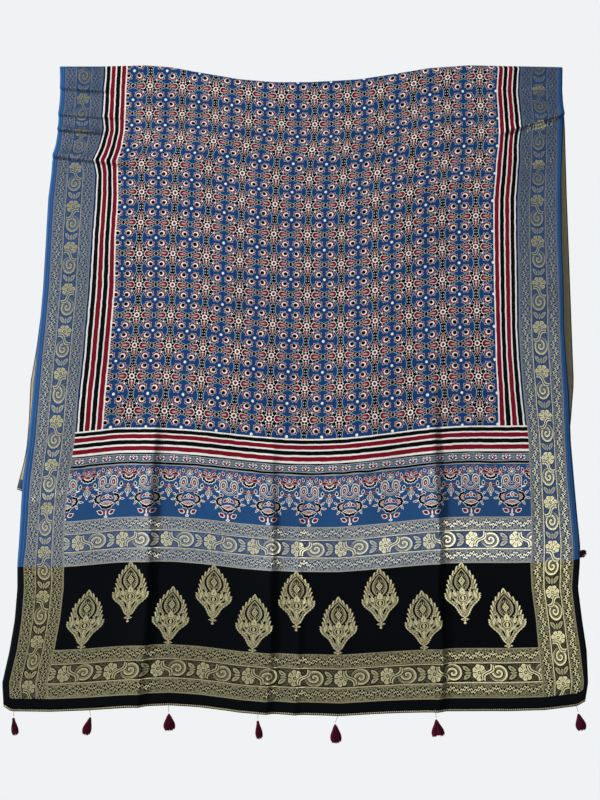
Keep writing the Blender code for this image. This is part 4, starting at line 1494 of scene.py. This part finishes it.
# %% The pattern tassel
STRANDS = 64
STRAND_STEPS = 5
STRAND_RADIUS = 0.085
SKIRT_NARROW, SKIRT_SWELL = 0.30, 0.74  # half width at the head, and what the belly adds
SKIRT_DELAY, SKIRT_TURN = 1.25, 2.15    # how low the belly lies, and how far it closes again
BINDINGS, BINDING_DEPTH = 4.0, 0.06


def add_tube(radius, top, bottom, sides, cuts):
    """Add an upright tube as a mesh of its own, cut into rings."""
    bpy.ops.object.select_all(action="DESELECT")
    bpy.ops.mesh.primitive_cylinder_add(
        vertices=sides, radius=radius, depth=top - bottom, location=(0.0, 0.0, (top + bottom) / 2))
    tube = bpy.context.object
    bpy.ops.object.transform_apply(location=True, rotation=True, scale=True)
    if cuts:
        bpy.ops.object.mode_set(mode="EDIT")
        bpy.ops.mesh.select_all(action="SELECT")
        for step in range(1, cuts):
            level = top + (bottom - top) * step / cuts
            bpy.ops.mesh.select_all(action="SELECT")
            bpy.ops.mesh.bisect(plane_co=(0.0, 0.0, level), plane_no=(0.0, 0.0, 1.0))
        bpy.ops.object.mode_set(mode="OBJECT")
    return tube


def read_points(item):
    """All points of a mesh as an array."""
    points = np.empty(len(item.data.vertices) * 3)
    item.data.vertices.foreach_get("co", points)
    return points.reshape(-1, 3)


def mark(item, part, yarn):
    """Store which part a point belongs to and how its yarn is dyed."""
    for name, value in (("part", part), ("yarn", yarn)):
        layer = item.data.attributes.new(name, "FLOAT", "POINT")
        layer.data.foreach_set("value", np.full(len(item.data.vertices), value))


def model_tassel():
    """Model the straight pattern tassel from a thread, a bound head and many strands."""
    parts = []
    thread = add_tube(THREAD_RADIUS, 1.0, 0.0, 8, 6)
    mark(thread, 0.0, 0.25)
    parts.append(thread)
    head = add_tube(1.0, 0.0, -1.0, 14, 15)
    points = read_points(head)
    down = -points[:, 2]
    swell = 0.30 + 0.70 * np.clip(down / 0.30, 0.0, 1.0) ** 0.6 - 0.16 * np.clip(down - 0.7, 0, 1)
    bind = BINDING_DEPTH * np.sin(down * 2.0 * math.pi * BINDINGS)
    points[:, :2] *= (swell + bind)[:, None]
    head.data.vertices.foreach_set("co", points.ravel())
    mark(head, 1.0, 0.5)
    parts.append(head)
    dice = random.Random(11)
    strand = add_tube(1.0, 0.0, -1.0, 4, STRAND_STEPS)
    for number in range(STRANDS):
        copy = bpy.data.objects.new("strand", strand.data.copy())
        bpy.context.scene.collection.objects.link(copy)
        points = read_points(copy)
        far = math.sqrt((number + 0.5) / STRANDS)
        angle = number * math.pi * (3.0 - math.sqrt(5.0))
        down = -points[:, 2]
        sway = 0.10 * dice.uniform(-1, 1) * np.sin(down * math.pi * dice.uniform(0.6, 1.4))
        belly = np.sin(np.clip(down, 0.0, 1.0) ** SKIRT_DELAY * SKIRT_TURN)
        spread = far * (SKIRT_NARROW + SKIRT_SWELL * belly)
        thin = STRAND_RADIUS * (1.0 - 0.25 * down)
        turned = angle + 0.3 * sway.mean()
        points[:, 0] = points[:, 0] * thin + spread * math.cos(turned) + sway * 0.3
        points[:, 1] = points[:, 1] * thin + spread * math.sin(angle) + sway * 0.3
        points[:, 2] = -down * (1.0 - 0.10 * far * far + 0.06 * dice.uniform(-1, 1))
        copy.data.vertices.foreach_set("co", points.ravel())
        mark(copy, 2.0, dice.random())
        parts.append(copy)
    bpy.data.objects.remove(strand, do_unlink=True)
    bpy.ops.object.select_all(action="DESELECT")
    for part in parts:
        part.select_set(True)
    bpy.context.view_layer.objects.active = thread
    bpy.ops.object.join()
    thread.name = "pattern_tassel"
    return thread


pattern_tassel = model_tassel()
print("pattern tassel:", len(pattern_tassel.data.polygons), "faces")

# %% [markdown]
# ## Tassel yarn
# The yarn is matt cotton or viscose, mostly madder red, with navy strands among them, and a
# pale grey thread. The *yarn* attribute picks the dye of a strand.

# %% Yarn material
THREAD_GREY = "#8C8A8C"


def yarn_material():
    """Matt twisted yarn in madder and navy, with a pale thread."""
    made, tree, shader = new_material("dyed_tassel_yarn")
    dye = put(tree, "Attribute", out=2, attribute_name="yarn")
    part = put(tree, "Attribute", out=2, attribute_name="part")
    strand = put(tree, "ValToRGB", (dye,), stops=(
        (0.0, linear("#3C061A")), (0.28, linear("#74082C")), (0.50, linear("#4E0620")),
        (0.66, linear("#141E48")), (0.86, linear("#5E0824"))))
    is_body = put(tree, "Math", (part, 0.5), operation="GREATER_THAN")
    color = mix(tree, is_body, linear(THREAD_GREY), strand)
    where = put(tree, "TexCoord", out=3)
    fibre = put(tree, "TexNoise", {"Vector": where, "Scale": 2600.0, "Detail": 2.0})
    level = put(tree, "MapRange", (fibre, 0.3, 0.7, 0.72, 1.25))
    color = put(tree, "VectorMath", {0: color, "Scale": level}, operation="SCALE")
    tree.links.new(color, shader.inputs["Base Color"])
    shader.inputs["Roughness"].default_value = 0.85
    shader.inputs["Sheen Weight"].default_value = 0.04
    shader.inputs["Specular IOR Level"].default_value = 0.1
    bump = put(tree, "Bump", {"Strength": 0.4, "Distance": 0.0002, "Height": fibre})
    tree.links.new(bump, shader.inputs["Normal"])
    return made


YARN = yarn_material()
print("yarn material:", YARN.name)

# %% [markdown]
# ## Hanging the tassels
# Each copy gets its own mesh. Its thread runs from the hem to the head, and its body from
# the head to the tip, so two straight directions bend the whole tassel.

# %% Copies on the hems
def turned_from_down(points, direction):
    """Turn points that hang straight down so that they hang along a direction."""
    down = np.array([0.0, 0.0, -1.0])
    axis = direction / np.linalg.norm(direction)
    cross, cosine = np.cross(down, axis), float(down @ axis)
    skew = np.array([[0, -cross[2], cross[1]], [cross[2], 0, -cross[0]],
                     [-cross[1], cross[0], 0]])
    turn = np.eye(3) + skew + skew @ skew / (1.0 + cosine)
    return points @ turn.T


def hem_point(hem_x, front):
    """Where the cloth's hem crosses a place on the X axis."""
    across = COLUMNS
    along = np.full_like(across, FRONT_LENGTH if front else -BACK_LENGTH)
    places = drape(across, along)
    return np.array([np.interp(hem_x, places[:, 0], places[:, i]) for i in range(3)])


def hang_tassel(name, row, front, swing, node):
    """Copy the pattern tassel, size it, bend it and hang it from the hem."""
    hem_x, head_dx, head_drop, tip_dx, tip_drop, width, parting = row
    bpy.ops.object.select_all(action="DESELECT")
    tassel = bpy.data.objects.new(name, pattern_tassel.data.copy())
    bpy.context.scene.collection.objects.link(tassel)
    points = read_points(tassel)
    part = np.empty(len(points))
    tassel.data.attributes["part"].data.foreach_get("value", part)
    root = hem_point(hem_x, front)
    head = np.array([head_dx, swing * 0.3, -head_drop])
    tip = np.array([tip_dx, swing, -tip_drop])
    long = np.linalg.norm(head)
    thread, body, skirt = part < 0.5, (part > 0.5) & (part < 1.5), part > 1.5
    points[thread, 2] = (points[thread, 2] - 1.0) * (long + THREAD_TUCKED)
    points[body] *= (HEAD_RADIUS, HEAD_RADIUS * 0.9, HEAD_LENGTH)
    skirt_length = np.linalg.norm(tip) - HEAD_LENGTH * SKIRT_START
    down = -points[skirt, 2]
    points[skirt, 0] = points[skirt, 0] * width / 2.0
    points[skirt, 0] += parting * down ** 2 * np.sign(points[skirt, 0]) * 0.5
    points[skirt, 1] = points[skirt, 1] * width / 2.0 * TASSEL_FLATNESS
    points[skirt, 2] = -HEAD_LENGTH * SKIRT_START - down * skirt_length
    straight = points.copy()
    points[thread] = turned_from_down(straight[thread], head) - head / long * THREAD_TUCKED
    hanging = body | skirt
    points[hanging] = turned_from_down(straight[hanging], tip) + head
    points += root
    points[thread, 2] += THREAD_TUCKED
    tassel.data.vertices.foreach_set("co", points.ravel())
    tassel.data.materials.clear()
    tassel.data.materials.append(YARN)
    tassel.data.update()
    tassel.select_set(True)
    bpy.context.view_layer.objects.active = tassel
    bpy.ops.object.shade_smooth_by_angle(angle=math.radians(50.0))
    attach(tassel, "root")
    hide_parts(node)
    return tassel


for number, row in enumerate(FRONT_TASSELS, start=1):
    hang_tassel(f"front_tassel_{number}", row, True, 0.0, f"tassel_front_{number}")
for number, row in enumerate(BACK_TASSELS, start=1):
    swing = CORNER_TASSEL_SWING if number == len(BACK_TASSELS) else 0.0
    hang_tassel(f"back_tassel_{number}", row, False, swing,
                               f"tassel_back_{number}")
bpy.data.objects.remove(pattern_tassel, do_unlink=True)

# %% [markdown]

# %% [markdown]
# ## Floor and light
# The photograph has a plain, very pale surround. The floor shines in that tint for the
# camera alone, so it adds no light to the cloth. The world is as bright as the surround
# where the camera sees it, and dimmer as a light. A round lamp at the upper left gives the
# folds a light and a dark side. A small one at the lower right only makes the gold gleam.

# %% Studio
FLOOR_HEIGHT = -1.9
SURROUND = "#F0F2F4"
AMBIENT = 0.32

bpy.ops.object.select_all(action="DESELECT")
bpy.ops.mesh.primitive_circle_add(vertices=96, radius=40.0, fill_type="NGON",
                                  location=(0.0, 0.0, FLOOR_HEIGHT))
floor = bpy.context.object
floor.name = "floor"
floor_paint, _, floor_shader = new_material("pale_floor_paint")
floor_shader.inputs["Base Color"].default_value = (0.0, 0.0, 0.0, 1.0)
floor_shader.inputs["Specular IOR Level"].default_value = 0.0
floor_shader.inputs["Emission Color"].default_value = linear(SURROUND)
floor_shader.inputs["Emission Strength"].default_value = 1.0
floor.data.materials.append(floor_paint)
floor.visible_diffuse = False
floor.visible_glossy = False

world = bpy.data.worlds.new("pale_surround")
bpy.context.scene.world = world
world.use_nodes = True
background = world.node_tree.nodes["Background"]
background.inputs["Color"].default_value = linear(SURROUND)
seen = put(world.node_tree, "LightPath")
strength = put(world.node_tree, "MapRange", (seen, 0.0, 1.0, AMBIENT, 1.0))
world.node_tree.links.new(strength, background.inputs["Strength"])

LAMPS = (
    # name, x, y, z, aims at x, z, size, watts
    ("key", -5.6, -3.4, 2.0, 0.0, -0.6, 1.3, 560.0),
    ("gleam", 1.6, -2.9, -1.0, 0.2, -0.8, 1.6, 20.0),
)


def add_lamp(name, x, y, z, aim_x, aim_z, size, watts):
    """Add a round soft lamp that looks at a point of the cloth."""
    light = bpy.data.lights.new(name, "AREA")
    light.shape = "DISK"
    light.size = size
    light.energy = watts
    lamp = bpy.data.objects.new(name, light)
    lamp.visible_diffuse = name != "gleam"
    lamp.location = (x, y, z)
    way = np.array([aim_x - x, -y, aim_z - z])
    lamp.rotation_euler = (math.acos(-way[2] / np.linalg.norm(way)), 0.0,
                           math.atan2(-way[0], way[1]))
    bpy.context.scene.collection.objects.link(lamp)


for row in LAMPS:
    add_lamp(*row)
bpy.context.scene.view_settings.view_transform = "Standard"
print("floor, world and", len(LAMPS), "lamps are set")
